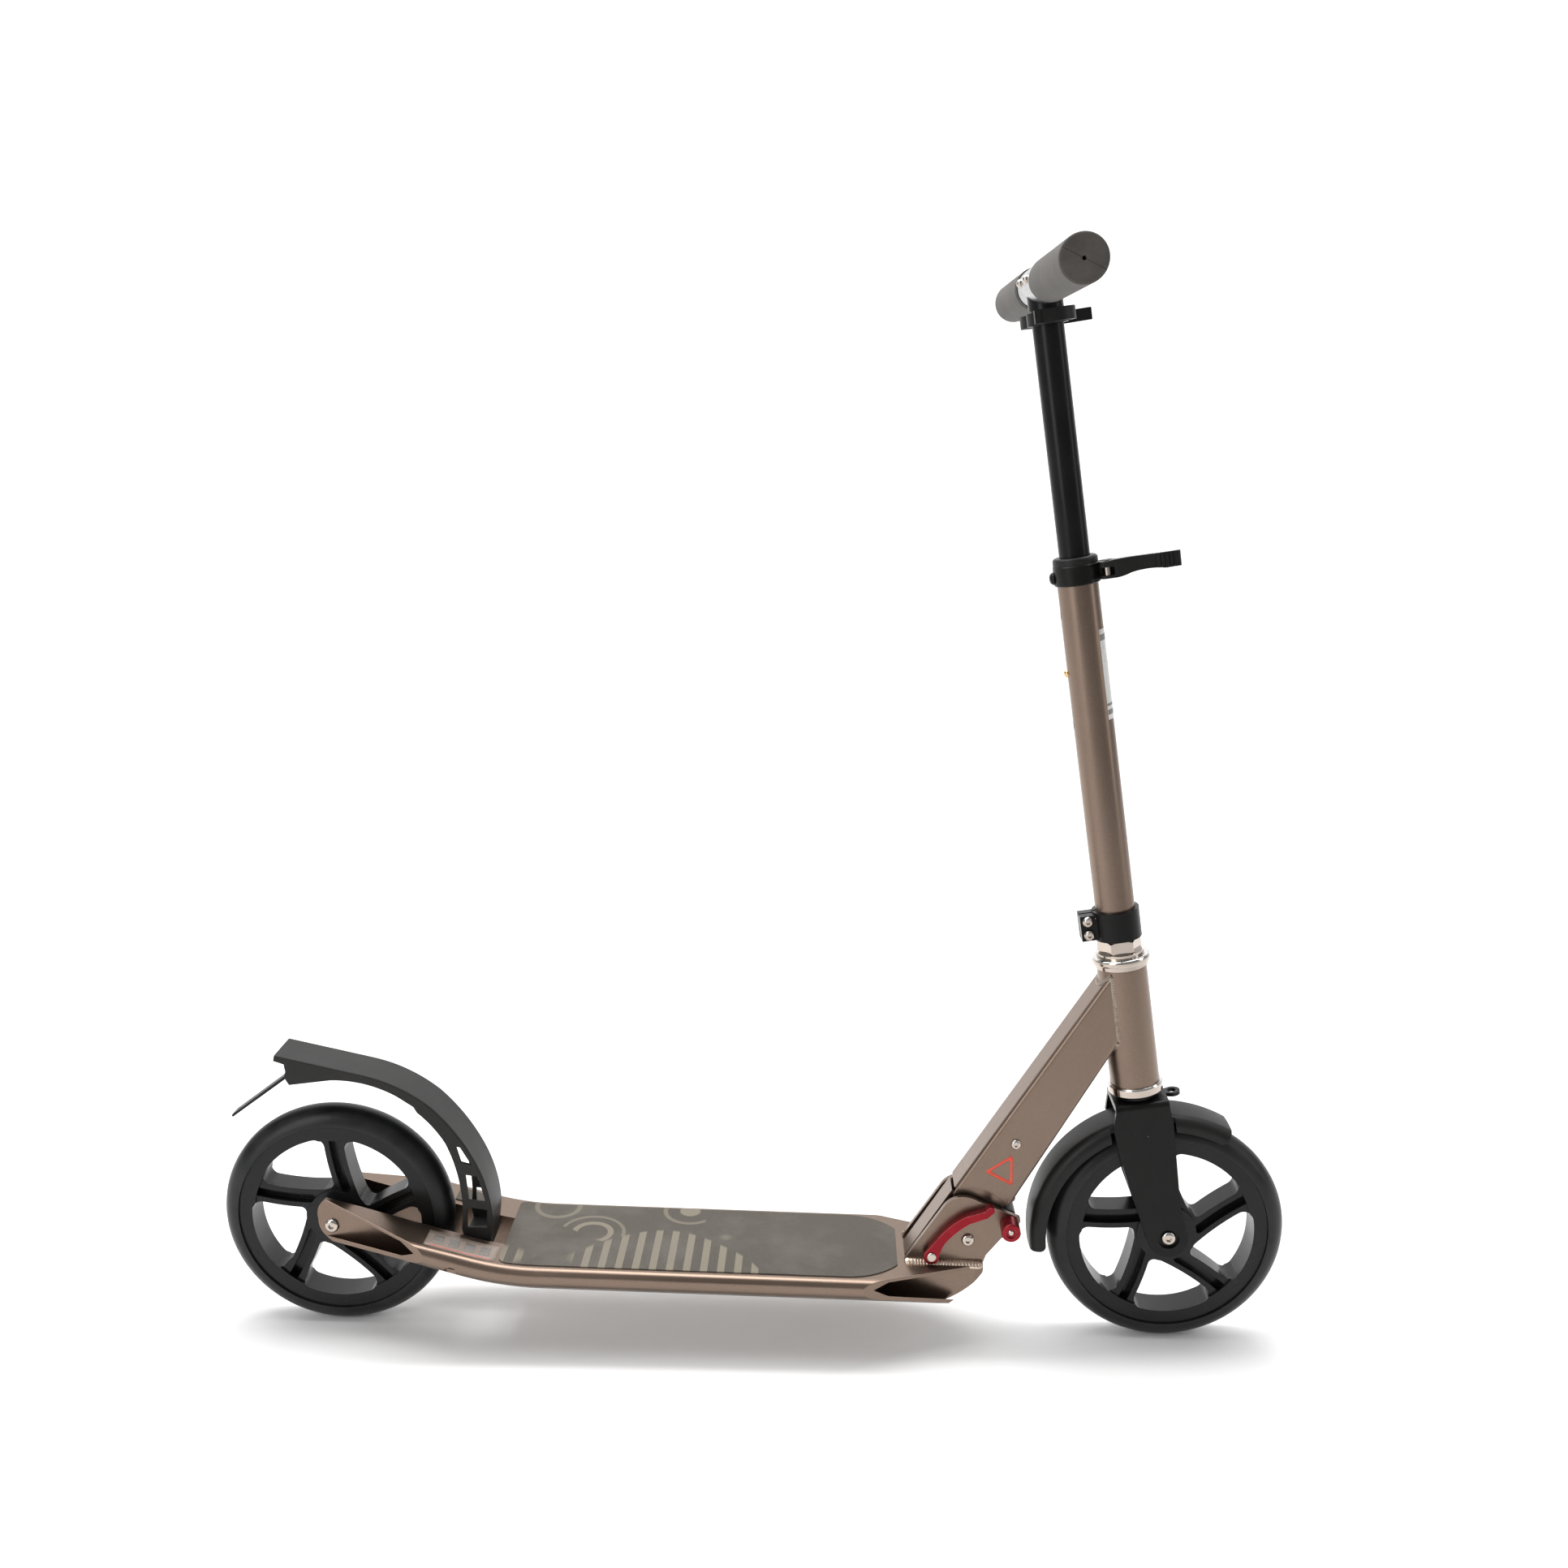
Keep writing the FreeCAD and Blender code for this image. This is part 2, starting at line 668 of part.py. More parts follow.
bead = [(22, 0), (26, 0, 25.1, 3), (22, 4)]
beads = []
for side in (1, -1):
    length = prism([[(side * y[0],) + tuple(y[1:2]) + ((side * y[2], y[3]) if len(y) == 4 else ())
                     for y in bead]], 134, 199, "YZ")
    length.Placement = DECK.multiply(length.Placement)
    beads.append(length)
keep("bracket_welds", group("bracket_welds", beads))

hinge_screw = screw("hinge_screw", -1, -22, (5.6, 3), (4, 44), 4.6)
hinge_nut = screw("hinge_nut", 1, 22.05, (6, 3.2), (4.05, 0.01), 4.6)
keep("hinge_bolt", group("hinge_bolt", [hinge_screw, hinge_nut]),
     FreeCAD.Placement(V(FOLD_X, 0, FOLD_Z), FreeCAD.Rotation()))

lever_screw = turned("fold_lever_screw", [[
    (-31.6, 0), (-31.6, 3.2, -31.3, 3.8), (-30.3, 4.2), (-30.3, 3), (-18, 3), (-18, 0)]], "Y")
keep("fold_lever_screw", lever_screw, FreeCAD.Placement(V(LEVER_X, 0, LEVER_Z), FreeCAD.Rotation()))

# ---------------------------------------------------------------- folding lever and lock

lever_edge = [
    (5.6, -3.5, 7.3, 4.2), (10.2, 11.5, 22.9, 25), (31.3, 31.1), (46.5, 36.9), (51, 41.5, 51.2, 45.6),
    (46.8, 45.6), (44.6, 42.9), (28.5, 38, 17.8, 30.6), (4, 15.9), (-6, 2.8, -4.4, -4.9),
]
lever_shape = []
for point in lever_edge:
    moved = [LEVER_X + point[0], LEVER_Z + point[1]]
    if len(point) == 4:
        moved += [LEVER_X + point[2], LEVER_Z + point[3]]
    lever_shape.append(tuple(moved))
fold_lever = new_body("fold_lever")
pad(fold_lever, [lever_shape, (LEVER_X, LEVER_Z, 3.05)], -30, -22.3)
teeth = []
for i in range(7):
    x = LEVER_X + 28.5 + 2.3 * i
    z = LEVER_Z + 38.1 + 0.72 * i
    teeth.append([(x, z + 1), (x + 0.2, z - 0.7), (x + 1.1, z - 0.5), (x + 1.1, z + 1.4)])
pocket(fold_lever, teeth, -30, -22.3)
# The hub is stepped down behind, clear of the weld bead.
pocket(fold_lever, [(LEVER_X, LEVER_Z, 7.6), (LEVER_X, LEVER_Z, 4.2)], -26.4, -22.3)
keep("fold_lever", fold_lever)

rod_place = FreeCAD.Placement(V(LOCK_X, 0, LOCK_Z), FreeCAD.Rotation())
rod = turned("rod", [[(-38.4, 0), (-38.4, 1.8), (-37.8, 2.5), (22.3, 2.5), (22.3, 5.2), (24.2, 5.2),
                      (24.2, 2.5), (27, 2.5), (27, 0)]], "Y")
keep("lock_rod", rod, rod_place)
knob = turned("lock_knob", [[
    (-22.3, 2.5), (-22.3, 7.4), (-23, 8), (-38, 8), (-39, 7), (-39, 4.6), (-37.2, 4.2), (-37.2, 2.5)]], "Y")
keep("lock_knob", knob, rod_place)
roller = turned("lock_roller", [[
    (-11.5, 2.5), (-11.5, 6.2), (-10.7, 7), (10.7, 7), (11.5, 6.2), (11.5, 2.5)]], "Y")
keep("lock_roller", roller, rod_place)

# ---------------------------------------------------------------- folding frame

below = (math.cos(math.radians(60.35)), math.sin(math.radians(60.35)))


def under_neck(k, inset=0):
    """World (x, z) of a point k along the underside of the neck, set inwards."""
    return (221 + below[0] * k - below[1] * inset, 123 + below[1] * k + below[0] * inset)


def head_bar(radius, low, high):
    """Round tool about the steering axis."""
    bar = cylinder(radius, high - low, (0, 0, low), (0, 0, 1))
    bar.Placement = STEERING.multiply(bar.Placement)
    return bar


half_neck = "Size.neck_width / 2"
neck = new_body("neck_blank")
pad(neck, [[
    (*along_neck(31, 33.5), 199, 138.8), under_neck(0), under_neck(190), along_neck(268, 33.5)]],
    "-%s" % half_neck, half_neck)
fillet(neck, 4, lambda e: e.Length > 150 and abs(abs(e.Vertexes[0].Y) - 17) < 0.1)
wall = number("Size.neck_wall")
pocket(neck, [[
    along_neck(5, 33.5 - wall), along_neck(262, 33.5 - wall), under_neck(186, wall), under_neck(-30, wall)]],
    "-%s + Size.neck_wall" % half_neck, "%s - Size.neck_wall" % half_neck)
rear_opening = prism([[
    along_neck(10, 40), along_neck(46.3, 40), along_neck(46.3, 28), along_neck(10, 28)]], -12.4, 12.4)
screw_holes = cylinder(3, 80, (NECK_SCREW_X, -40, NECK_SCREW_Z), (0, 1, 0))
bumper_x, bumper_z = under_neck(8)
bumper_hole = cylinder(1.5, 12, (bumper_x - 8 * below[1], 0, bumper_z + 8 * below[0]),
                       (below[1], 0, -below[0]))
neck_box = cut("neck_box", neck, [
    head_bar("Size.head_radius", 100, 238.4), head_bar(24.8, 238.4, 280), rear_opening,
    screw_holes, bumper_hole])
keep("neck_box", neck_box)

ear_outline = [
    (*along_neck(-3, 15.7), *along_neck(-16, 0)), (*along_neck(3, -15.7),), along_neck(24, -12),
    along_neck(108, -8), along_neck(108, 31.1), along_neck(26, 31.1),
]
ears = []
for low, high in ((-14.6, -12.4), (12.4, 14.6)):
    ear_loops = [ear_outline, (FOLD_X, FOLD_Z, 4.05), (NECK_SCREW_X, NECK_SCREW_Z, 3)]
    ears.append(extruded("ear", ear_loops, low, high))
bridge = extruded("bridge", [[
    along_neck(30.6, 31.3), along_neck(30.6, 33.4), along_neck(46, 33.4), along_neck(46, 28),
    along_neck(36, 28)]], -12.4, 12.4)
keep("neck_insert", fused("neck_insert", ears + [bridge]))

neck_screws = group("neck_screws", [
    screw("neck_screw", -1, -17.02, (4.4, 2.2), (2.95, 10), 3.4),
    screw("neck_screw", 1, 17.02, (4.4, 2.2), (2.95, 10), 3.4)])
keep("neck_screws", neck_screws, FreeCAD.Placement(V(NECK_SCREW_X, 0, NECK_SCREW_Z), FreeCAD.Rotation()))

bumper = turned("neck_bumper", [[
    (0, -1), (1.5, -1), (1.5, 2.3), (1.5, 2.4), (4, 2.4), (4, 5.2), (3, 6.4), (0, 6.4)]])
stud = FreeCAD.Placement(
    V(bumper_x - 2.3 * below[1], 0, bumper_z + 2.3 * below[0]),
    FreeCAD.Rotation(V(0, 0, 1), V(below[1], 0, -below[0])))
keep("neck_bumper", bumper, stud)

keep("head_tube", ring("head_tube", 17.3, "Size.head_radius", "Size.head_bottom", "Size.head_top"), STEERING)
keep("lower_headset_cup", turned("lower_headset_cup", [[
    (15.3, 136), (15.3, 133.5), (19, 133.5), (19, 128), (21.6, 128), (22.7, 129), (22.7, 134.8),
    (21.4, 136)]]), STEERING)
keep("upper_headset_cup", turned("upper_headset_cup", [[
    (15.3, 238.4), (20.5, 238.4), (22, 239.6), (22, 243), (18.9, 243), (18.9, 240.5), (15.3, 240.5)]]),
    STEERING)
ball_rings = group("headset_ball_rings", [
    ring("lower_balls", 15.2, 18.7, 129.6, 133.4), ring("upper_balls", 15.2, 18.7, 240.6, 244.3)])
keep("headset_ball_rings", ball_rings, STEERING)

# ---------------------------------------------------------------- fork, headset and front mudguard

half_fork = "Size.fork_width / 2"
half_gap = "Size.fork_gap / 2"
leg_outline = [
    (-21, 123), (-21.5, 117), (-25, 103), (-22.3, 77), (-16.9, 44), (-13.3, 27),
    (-7.6, -0.5, 10, -18), (26.2, -2.5), (23, 16), (22.8, 37), (23.7, 72), (24.3, 101), (23, 117), (23, 123),
]
fork = new_body("fork_blank")
pad(fork, [leg_outline], "-%s" % half_fork, half_fork)
pocket(fork, [rect("-%s" % half_gap, -30, half_gap, 118)], -40, 40, "YZ_Plane")
fillet(fork, 4.5, lambda e: (
    e.Length > 30 and abs(e.BoundBox.ZMin - 123) < 0.1 and abs(e.BoundBox.YLength) < 0.1))
eye_arm = [(22.5, -4.6), (29, -7, 36, 0), (29, 7), (22.5, 4.6)]
pad(fork, [eye_arm, (29, 0, 3.6)], 119, 122, "XY_Plane")
axle_x = (HALF_BASE - STEERING_X) * math.cos(math.radians(LEAN))
axle_s = -(HALF_BASE - STEERING_X) * math.sin(math.radians(LEAN))
recesses = []
for side in (-1, 1):
    recesses.append(cylinder(8.8, 10, (axle_x, side * 20.5, axle_s), (0, side, 0)))
recesses.append(cylinder("Size.axle_radius", 60, (axle_x, -30, axle_s), (0, 1, 0)))
recesses.append(cylinder("Size.steerer_radius", 12, (0, 0, 115), (0, 0, 1)))
keep("fork", cut("fork", fork, recesses), STEERING)

keep("steerer_tube", ring("steerer_tube", "Size.steerer_radius - Size.steerer_wall",
                          "Size.steerer_radius", 118, 288), STEERING)
keep("crown_race", turned("crown_race", [[
    ("Size.steerer_radius", 123), (17.4, 123), (18.4, 124.5), (18.4, 126.4), (17.6, 129.3),
    ("Size.steerer_radius", 129.3)]]), STEERING)
keep("upper_race_cover", turned("upper_race_cover", [[
    ("Size.steerer_radius", 244.6), (22.4, 244.6), (22.4, 243.3), (23.4, 243.3), (23.9, 244.6),
    (23.9, 246, 23.4, 248.1), (21.5, 249), ("Size.steerer_radius", 249)]]), STEERING)
keep("headset_washer", ring("headset_washer", "Size.steerer_radius", 19.3, 249, 252), STEERING)

nut_turning = turned("nut_turning", [[
    ("Size.steerer_radius", 252), (16.4, 252), (18.2, 253.4), (18.2, 261), (16.4, 262.4),
    ("Size.steerer_radius", 262.4)]])
nut_hexagon = hexagon(36, 30, (0, 0, 245), (0, 0, 1))
locknut = doc.addObject("Part::MultiCommon", "headset_locknut")
locknut.Shapes = [nut_turning, nut_hexagon]
keep("headset_locknut", locknut, STEERING)


# Two sections of the guard: full width beside the fork, narrow where it passes between the legs.
guard_y = "Size.mudguard_width / 2"
guard_in = "Size.mudguard_width / 2 - Size.mudguard_wall"
crown = "Size.mudguard_radius"
under = "Size.mudguard_radius - Size.mudguard_wall"
guard_section = [
    (opposite(guard_y), 97.5), (opposite(guard_y), 101, "-(%s) + 3.2" % guard_y, "%s - 2.6" % crown),
    ("-(%s) + 9" % guard_y, "%s - 0.4" % crown, 0, crown),
    ("%s - 9" % guard_y, "%s - 0.4" % crown, "%s - 3.2" % guard_y, "%s - 2.6" % crown),
    (guard_y, 101), (guard_y, 97.5), (guard_in, 97.5),
    (guard_in, 101, "%s - 2.4" % guard_in, "%s - 2.2" % under),
    ("%s - 7" % guard_in, "%s - 0.4" % under, 0, under),
    ("-(%s) + 7" % guard_in, "%s - 0.4" % under, "-(%s) + 2.4" % guard_in, "%s - 2.2" % under),
    ("-(%s)" % guard_in, 101), ("-(%s)" % guard_in, 97.5),
]
guard = new_body("guard")
guard_sketch = body_sketch(guard, "YZ_Plane", [guard_section])
guard_turn = guard.newObject("PartDesign::Revolution", "guard_turn")
guard_turn.Profile = guard_sketch
guard_turn.ReferenceAxis = (guard_sketch, ["H_Axis"])
guard_turn.Angle = 127
guard_turn.Midplane = True
doc.recompute()
# The corners of both ends are rounded.
fillet(guard, 5, lambda e: abs(e.BoundBox.YLength - 3) < 0.05 and e.Length < 3.1)
# The section stands straight up in its own frame; -Y turns it towards the rear of the wheel.
guard_middle = (61 + 188) / 2 - LEAN
guard.Placement = FreeCAD.Placement(
    V(axle_x - 5.5, 0, axle_s), FreeCAD.Rotation(V(0, -1, 0), guard_middle - 90))
notches = []
for side in (-1, 1):
    near, far = sorted((side * 17.5, side * 40))
    notches.append(block((-27.5, near, 60), (26.5, far, 117.9)))
boss = cylinder(11, 10.4, (0, 0, 107.5), (0, 0, 1))
guard_with_boss = fused("guard_with_boss", [guard, boss])
keep("front_mudguard", cut("front_mudguard", guard_with_boss, notches), STEERING)

# ---------------------------------------------------------------- steering column

clamp_outer = 19.2
clamp_ring = ring("clamp_ring", "Size.column_radius + 0.05", clamp_outer, 263.6, 287.9)
clamp_ears = [
    extruded("clamp_ear", [rect(-30.3, 265.2, -16.2, 286.4)], 1.2, 8.8),
    extruded("clamp_ear", [rect(-30.3, 265.2, -16.2, 286.4)], -8.8, -1.2),
]
clamp_tools = [block((-40, -1.2, 260), (-10, 1.2, 292)), cylinder(16.05, 40, (0, 0, 258), (0, 0, 1))]
screw_levels = (270.4, 281.8)
for level in screw_levels:
    clamp_tools.append(cylinder(2.5, 40, (-24.2, -20, level), (0, 1, 0)))
lower_clamp = cut("lower_clamp", fused("clamp_body", [clamp_ring] + clamp_ears), clamp_tools)
keep("lower_clamp", lower_clamp, STEERING)
clamp_screws = []
for level in screw_levels:
    bolt = screw("clamp_screw", -1, -8.82, (4.4, 3.4), (2.45, 19), 3.6)
    bolt.Placement = FreeCAD.Placement(V(-24.2, 0, level), FreeCAD.Rotation())
    clamp_screws.append(bolt)
keep("lower_clamp_screws", group("lower_clamp_screws", clamp_screws), STEERING)

column = ring("column_blank", "Size.column_radius - Size.column_wall", "Size.column_radius",
              "Size.column_bottom", "Size.column_top")
column_tools = [
    cylinder(3, 12, (-20, 0, 443.4), (1, 0, 0)), cylinder(3, 12, (-20, 0, 531.2), (1, 0, 0)),
    cylinder(3.5, 12, (-20, 0, 485.3), (1, 0, 0)), block((-1, -1, 545), (22, 1, 575))]
keep("steering_column", cut("steering_column", column, column_tools), STEERING)

dome = turned("height_button", [[
    (0, 0), (3.2, 0), (3.2, 1.6, 2.6, 3.5), (0.6, 4.5), (0, 4.5)]])
button_place = FreeCAD.Placement(V(-14.2, 0, 485.3), FreeCAD.Rotation(V(0, 0, 1), V(-1, 0, 0)))
keep("height_button", dome, STEERING.multiply(button_place))

collar_ring = turned("collar_ring", [[
    ("Size.column_radius + 0.05", 554.6), (17.4, 554.6), (18, 555.2), (18, 569.4), (17.4, 570),
    ("Size.column_radius + 0.05", 570)]])
collar_ears = []
for low, high in ((1.5, 7.5), (-7.5, -1.5)):
    collar_ears.append(extruded("collar_ear", [[
        (14, 556), (29, 556, 31, 562.7), (29, 569.5), (14, 569.5)]], low, high))
collar_tools = [
    block((8, -1.5, 550), (40, 1.5, 575)), cylinder(16.05, 30, (0, 0, 548), (0, 0, 1)),
    cylinder(2.8, 40, (22, -20, 562.5), (0, 1, 0)), cylinder(2.5, 8, (-22, 0, 561), (1, 0, 0))]
keep("clamp_collar", cut("clamp_collar", fused("collar_body", [collar_ring] + collar_ears), collar_tools),
     STEERING)
collar_dome = turned("collar_screw", [[
    (0, 0), (2.45, 0), (2.45, 1.95), (5, 1.95, 4, 4), (0.8, 5.2), (0, 5.2)]])
collar_screw_place = FreeCAD.Placement(V(-16.1, 0, 561), FreeCAD.Rotation(V(0, 0, 1), V(-1, 0, 0)))
keep("collar_screw", collar_dome, STEERING.multiply(collar_screw_place))

skewer_rod = cylinder(2.5, 26.5, (22, -14, 562.5), (0, 1, 0))
barrel = cylinder(2.95, 12.4, (22, -14, 557.3), (0, 0, 1))
skewer_nut = turned("skewer_nut", [[(7.55, 0), (7.55, 5.2), (8.2, 5.8), (12.3, 5.8), (13, 5), (13, 0)]], "Y")
skewer_nut.Placement = FreeCAD.Placement(V(22, 0, 562.5), FreeCAD.Rotation())
keep("clamp_skewer", fused("clamp_skewer", [skewer_rod, barrel, skewer_nut]), STEERING)

lever_plan = [
    (18.5, -19.1, 15.8, -14), (18.5, -8.9, 22, -7.8), (26.5, -9.7), (30, -14.4),
    (44, -17.2), (60, -20, 68, -21.6), (75.2, -21.4, 76.2, -24), (74.4, -26.2),
    (62, -25.3), (44, -22.2), (30, -20.6),
]
lever_blank = new_body("clamp_lever_blank")
pad(lever_blank, [lever_plan], 557, 571.4, "XY_Plane")
slope = prism([[
    (10, 550), (90, 550), (90, 559.9), (64, 559.4, 50, 560.7), (38, 559.3, 31, 557.4), (23, 557), (10, 557),
]], -40, 0)
slope_top = prism([[
    (10, 570), (20, 570.2), (28, 571), (48, 571.8), (62, 571.4), (90, 571.4), (90, 580), (10, 580),
]], -40, 0)
rod_room = block((8, -25, 559.2), (26.5, 0, 565.8))
pin_room = cylinder(3, 20, (22, -14, 553), (0, 0, 1))
grooves = []
for i in range(5):
    grooves.append(block((57 + 3.2 * i, -22.2 - 0.15 * i, 550), (58.2 + 3.2 * i, -10, 580)))
for i in range(5):
    grooves.append(block((57 + 3.2 * i, -34, 550), (58.2 + 3.2 * i, -24.1 - 0.15 * i, 580)))
lever_cuts = [slope, slope_top, rod_room, pin_room] + grooves
keep("clamp_lever", cut("clamp_lever", lever_blank, lever_cuts), STEERING)

guide = turned("column_guide_ring", [[
    ("Size.upper_tube_radius + 0.08", 545), ("Size.column_radius - Size.column_wall - 0.05", 545),
    ("Size.column_radius - Size.column_wall - 0.05", 570.1), (17.5, 570.1),
    (17.5, 573.5, 16.6, 575.4), (14.6, 576), ("Size.upper_tube_radius + 0.08", 576)]])
keep("column_guide_ring", guide, STEERING)

# ---------------------------------------------------------------- handlebar

upper = ring("upper_blank", "Size.upper_tube_radius - Size.upper_tube_wall",
             "Size.upper_tube_radius", 420, 765)
button_way = cylinder(3.6, 12, (-16, 0, 485.3), (1, 0, 0))
keep("upper_tube", cut("upper_tube", upper, [button_way]), STEERING)
keep("lower_bush", ring("lower_bush", "Size.upper_tube_radius", 13.93, 420, 434), STEERING)

CLIP_LOW = 751
CLIP_HIGH = 760.5
clip_ring = ring("clip_ring", "Size.upper_tube_radius", 15.4, CLIP_LOW, CLIP_HIGH)
near_cup = [
    (-12.5, -46.9), (0, -46.9, 16.9, -30), (5, -13.8), (2.5, -16.9, 13.4, -30), (0, -43.4),
    (-11, -43.4), (-12.8, -44.6)]
far_cup = [
    (40.5, 43.5), (40.5, 47.2), (14, 46.4), (0, 46.9, -16.9, 30), (-5, 13.8), (-2.5, 16.9, -13.4, 30),
    (0, 43.4), (14, 42.9)]
cups = [extruded("cup", [loop], CLIP_LOW, CLIP_HIGH, "XY_Plane") for loop in (near_cup, far_cup)]
lip_edge = [(-15.2, -48.2), (-11, -48.2), (-11, -42), (-15.2, -42)]
lip = extruded("lip", [lip_edge], CLIP_LOW, CLIP_HIGH, "XY_Plane")
clip_tool = cylinder("Size.upper_tube_radius", 30, (0, 0, 740), (0, 0, 1))
keep("bar_clip", cut("bar_clip", fused("clip_body", [clip_ring] + cups + [lip]), [clip_tool]), STEERING)

stem = ring("stem_blank", "Size.upper_tube_radius", 13.3, 762, 776)
keep("bar_stem", cut("bar_stem", stem, [cylinder(15, 80, (0, -40, 780.3), (0, 1, 0))]), STEERING)

bar = at(STEERING, z=number("Size.bar_height"))
tee = turned("tee_blank", [[(-38, 11.3), (38, 11.3), (38, 14.6), (37.4, 15), (-37.4, 15), (-38, 14.6)]], "Y")
holes = [cylinder(3.6, 22, (0, y, 0), (-0.96, 0, 0.28)) for y in (-19, 19)]
keep("bar_tee", cut("bar_tee", tee, holes), bar)
collars = []
for side in (-1, 1):
    ends = sorted((side * 38.05, side * 43))
    collars.append(turned("bar_collar", [rect(ends[0], 11.3, ends[1], 15.6)], "Y"))
keep("bar_collars", group("bar_collars", collars), bar)

grip = "Size.grip_radius"
for name, side in (("right", -1), ("left", 1)):
    start = "%d * Size.grip_start" % side
    end = "%d * Size.grip_end" % side
    shoulder = "%d * (Size.grip_end - 1.2)" % side
    foam = turned(name + "_foam", [[
        (start, "Size.grip_tube_radius"), (start, grip), (shoulder, grip), (end, "Size.grip_radius - 1.2"),
        (end, 1.4), ("%d * (Size.grip_end - 5)" % side, 1.4),
        ("%d * (Size.grip_end - 5)" % side, "Size.grip_tube_radius")]], "Y")
    keep(name + "_grip", foam, bar)
    tube = turned(name + "_tube_blank", [rect(side * 8, 9.4, "%d * (Size.grip_end - 5.1)" % side,
                                              "Size.grip_tube_radius")], "Y")
    low, high = sorted((side * 7, side * 19))
    slot = block((-14, low, -3.8), (0, high, 3.8))
    slot_end = cylinder(3.8, 14, (0, side * 19, 0), (-1, 0, 0))
    tube_cut = cut(name + "_grip_tube", tube, [slot, slot_end])
    tilt = FreeCAD.Placement(V(0, 0, 0), FreeCAD.Rotation(V(0, 1, 0), math.degrees(math.atan2(0.28, 0.96))))
    keep(name + "_grip_tube", tube_cut, bar.multiply(tilt))
    snap = turned(name + "_snap", [[(0, 0), (3.2, 0), (3.2, 9.4, 2.4, 11.2), (0.6, 12), (0, 12)]])
    outward = FreeCAD.Rotation(V(0, 0, 1), V(-0.96, 0, 0.28))
    lift = FreeCAD.Placement(V(-6 * 0.96, side * 19, 6 * 0.28), outward)
    keep(name + "_snap_button", snap, bar.multiply(lift))

# ---------------------------------------------------------------- rear brake fender

fender_side = [
    (-397, 251.4), (-325, 235.4, -294.2, 224.5), (-267, 206.4, -247, 183.5), (-230, 154.5, -221.4, 128.6),
    (-218.5, 105.7), (-221, 84), (-223.6, 71.5, -232, 66.4), (-240.6, 72.3), (-245.2, 95),
    (-243.8, 110, -246.6, 144), (-256, 174, -266.8, 189.6), (-278.8, 201.8),
    (-281.8, 207), (-295.3, 216.1, -321, 226.6),
    (-351, 229.8), (-386, 225), (-389.8, 231.9), (-388.4, 237), (-389.4, 243.6), (-398, 246.4),
]
fender = new_body("fender_blank")
half_fender = "Size.fender_width / 2"
pad(fender, [fender_side], "-%s" % half_fender, half_fender)
# Only the long outer edges, which lie farthest from the axle, are rounded.
fillet(fender, 1.5, lambda e: e.BoundBox.YLength < 0.1 and e.Length > 40
       and math.hypot(e.CenterOfMass.x + HALF_BASE, e.CenterOfMass.z - WHEEL_Z) > 134)
hollow = [
    (-309.4, 214), (-309.4, 227.4, -289, 217.8), (-269.2, 203.8, -249.7, 181.6), (-233, 153.1, -224.6, 127.8),
    (-221.8, 105.6), (-223.4, 87), (-260, 87), (-262, 150),
]
pocket(fender, [hollow], -17, 17)
windows = [
    [(-247.4, 171.4), (-243.8, 170.8), (-234.6, 154.6), (-243.6, 157)],
    [(-240.4, 145.7), (-229.6, 144), (-223.9, 120.4), (-238.3, 122.1)],
    [(-240.2, 115.3), (-222.9, 113.4), (-223.7, 96.8), (-240.6, 96.9)],
]
pocket(fender, windows, -30, 30)
pocket(fender, [(BRAKE_X, BRAKE_Z, 3.05)], -30, 30)
keep("rear_fender", fender)
flap = extruded("fender_flap", [[
    (-391.4, 229.4), (-441.4, 191.6, -442, 190), (-440, 190), (-389.8, 227.4)]], -6.5, 6.5)
keep("fender_flap", flap)
keep("fender_pin", group("fender_pin", [
    turned("fender_pin_rod", [[(-26.4, 0), (-26.4, 2.4), (-25.8, 2.95), (25.8, 2.95), (26.4, 2.4), (26.4, 0)]], "Y")]),
    FreeCAD.Placement(V(BRAKE_X, 0, BRAKE_Z), FreeCAD.Rotation()))

# ---------------------------------------------------------------- check and export

doc.recompute()
for thing in doc.Objects:
    if "Invalid" in thing.State or "Error" in thing.State:
        raise RuntimeError("%s did not compute: %s" % (thing.Label, thing.State))
os.makedirs("parts", exist_ok=True)
for name, thing in nodes.items():
    if thing.Shape.isNull() or not thing.Shape.isValid() or not thing.Shape.Solids:
        raise RuntimeError(name + " has no valid solid")
    thing.Shape.exportStep("parts/%s.step" % name)
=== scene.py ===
import json
import math

import bpy
from mathutils import Matrix, Vector, noise
from mathutils.bvhtree import BVHTree


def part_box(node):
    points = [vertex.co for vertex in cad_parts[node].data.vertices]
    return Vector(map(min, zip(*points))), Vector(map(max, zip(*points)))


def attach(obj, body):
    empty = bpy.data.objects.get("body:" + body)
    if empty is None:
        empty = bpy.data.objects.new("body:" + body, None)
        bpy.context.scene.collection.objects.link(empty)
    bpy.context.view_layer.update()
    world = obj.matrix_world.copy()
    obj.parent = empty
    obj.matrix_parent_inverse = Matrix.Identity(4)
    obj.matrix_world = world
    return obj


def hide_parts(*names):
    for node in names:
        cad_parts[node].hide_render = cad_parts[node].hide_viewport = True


# Looks of the kick scooter. Metres, X forward, Y to the rider's left, Z up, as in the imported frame.

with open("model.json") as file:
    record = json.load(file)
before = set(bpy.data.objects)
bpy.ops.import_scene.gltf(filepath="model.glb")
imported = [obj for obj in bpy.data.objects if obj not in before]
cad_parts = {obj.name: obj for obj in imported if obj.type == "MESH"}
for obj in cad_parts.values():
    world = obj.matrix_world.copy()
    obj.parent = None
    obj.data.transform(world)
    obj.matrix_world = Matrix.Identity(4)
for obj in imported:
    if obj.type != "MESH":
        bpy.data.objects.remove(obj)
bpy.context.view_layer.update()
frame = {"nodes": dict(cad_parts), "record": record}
nodes = frame["nodes"]

MM = 0.001

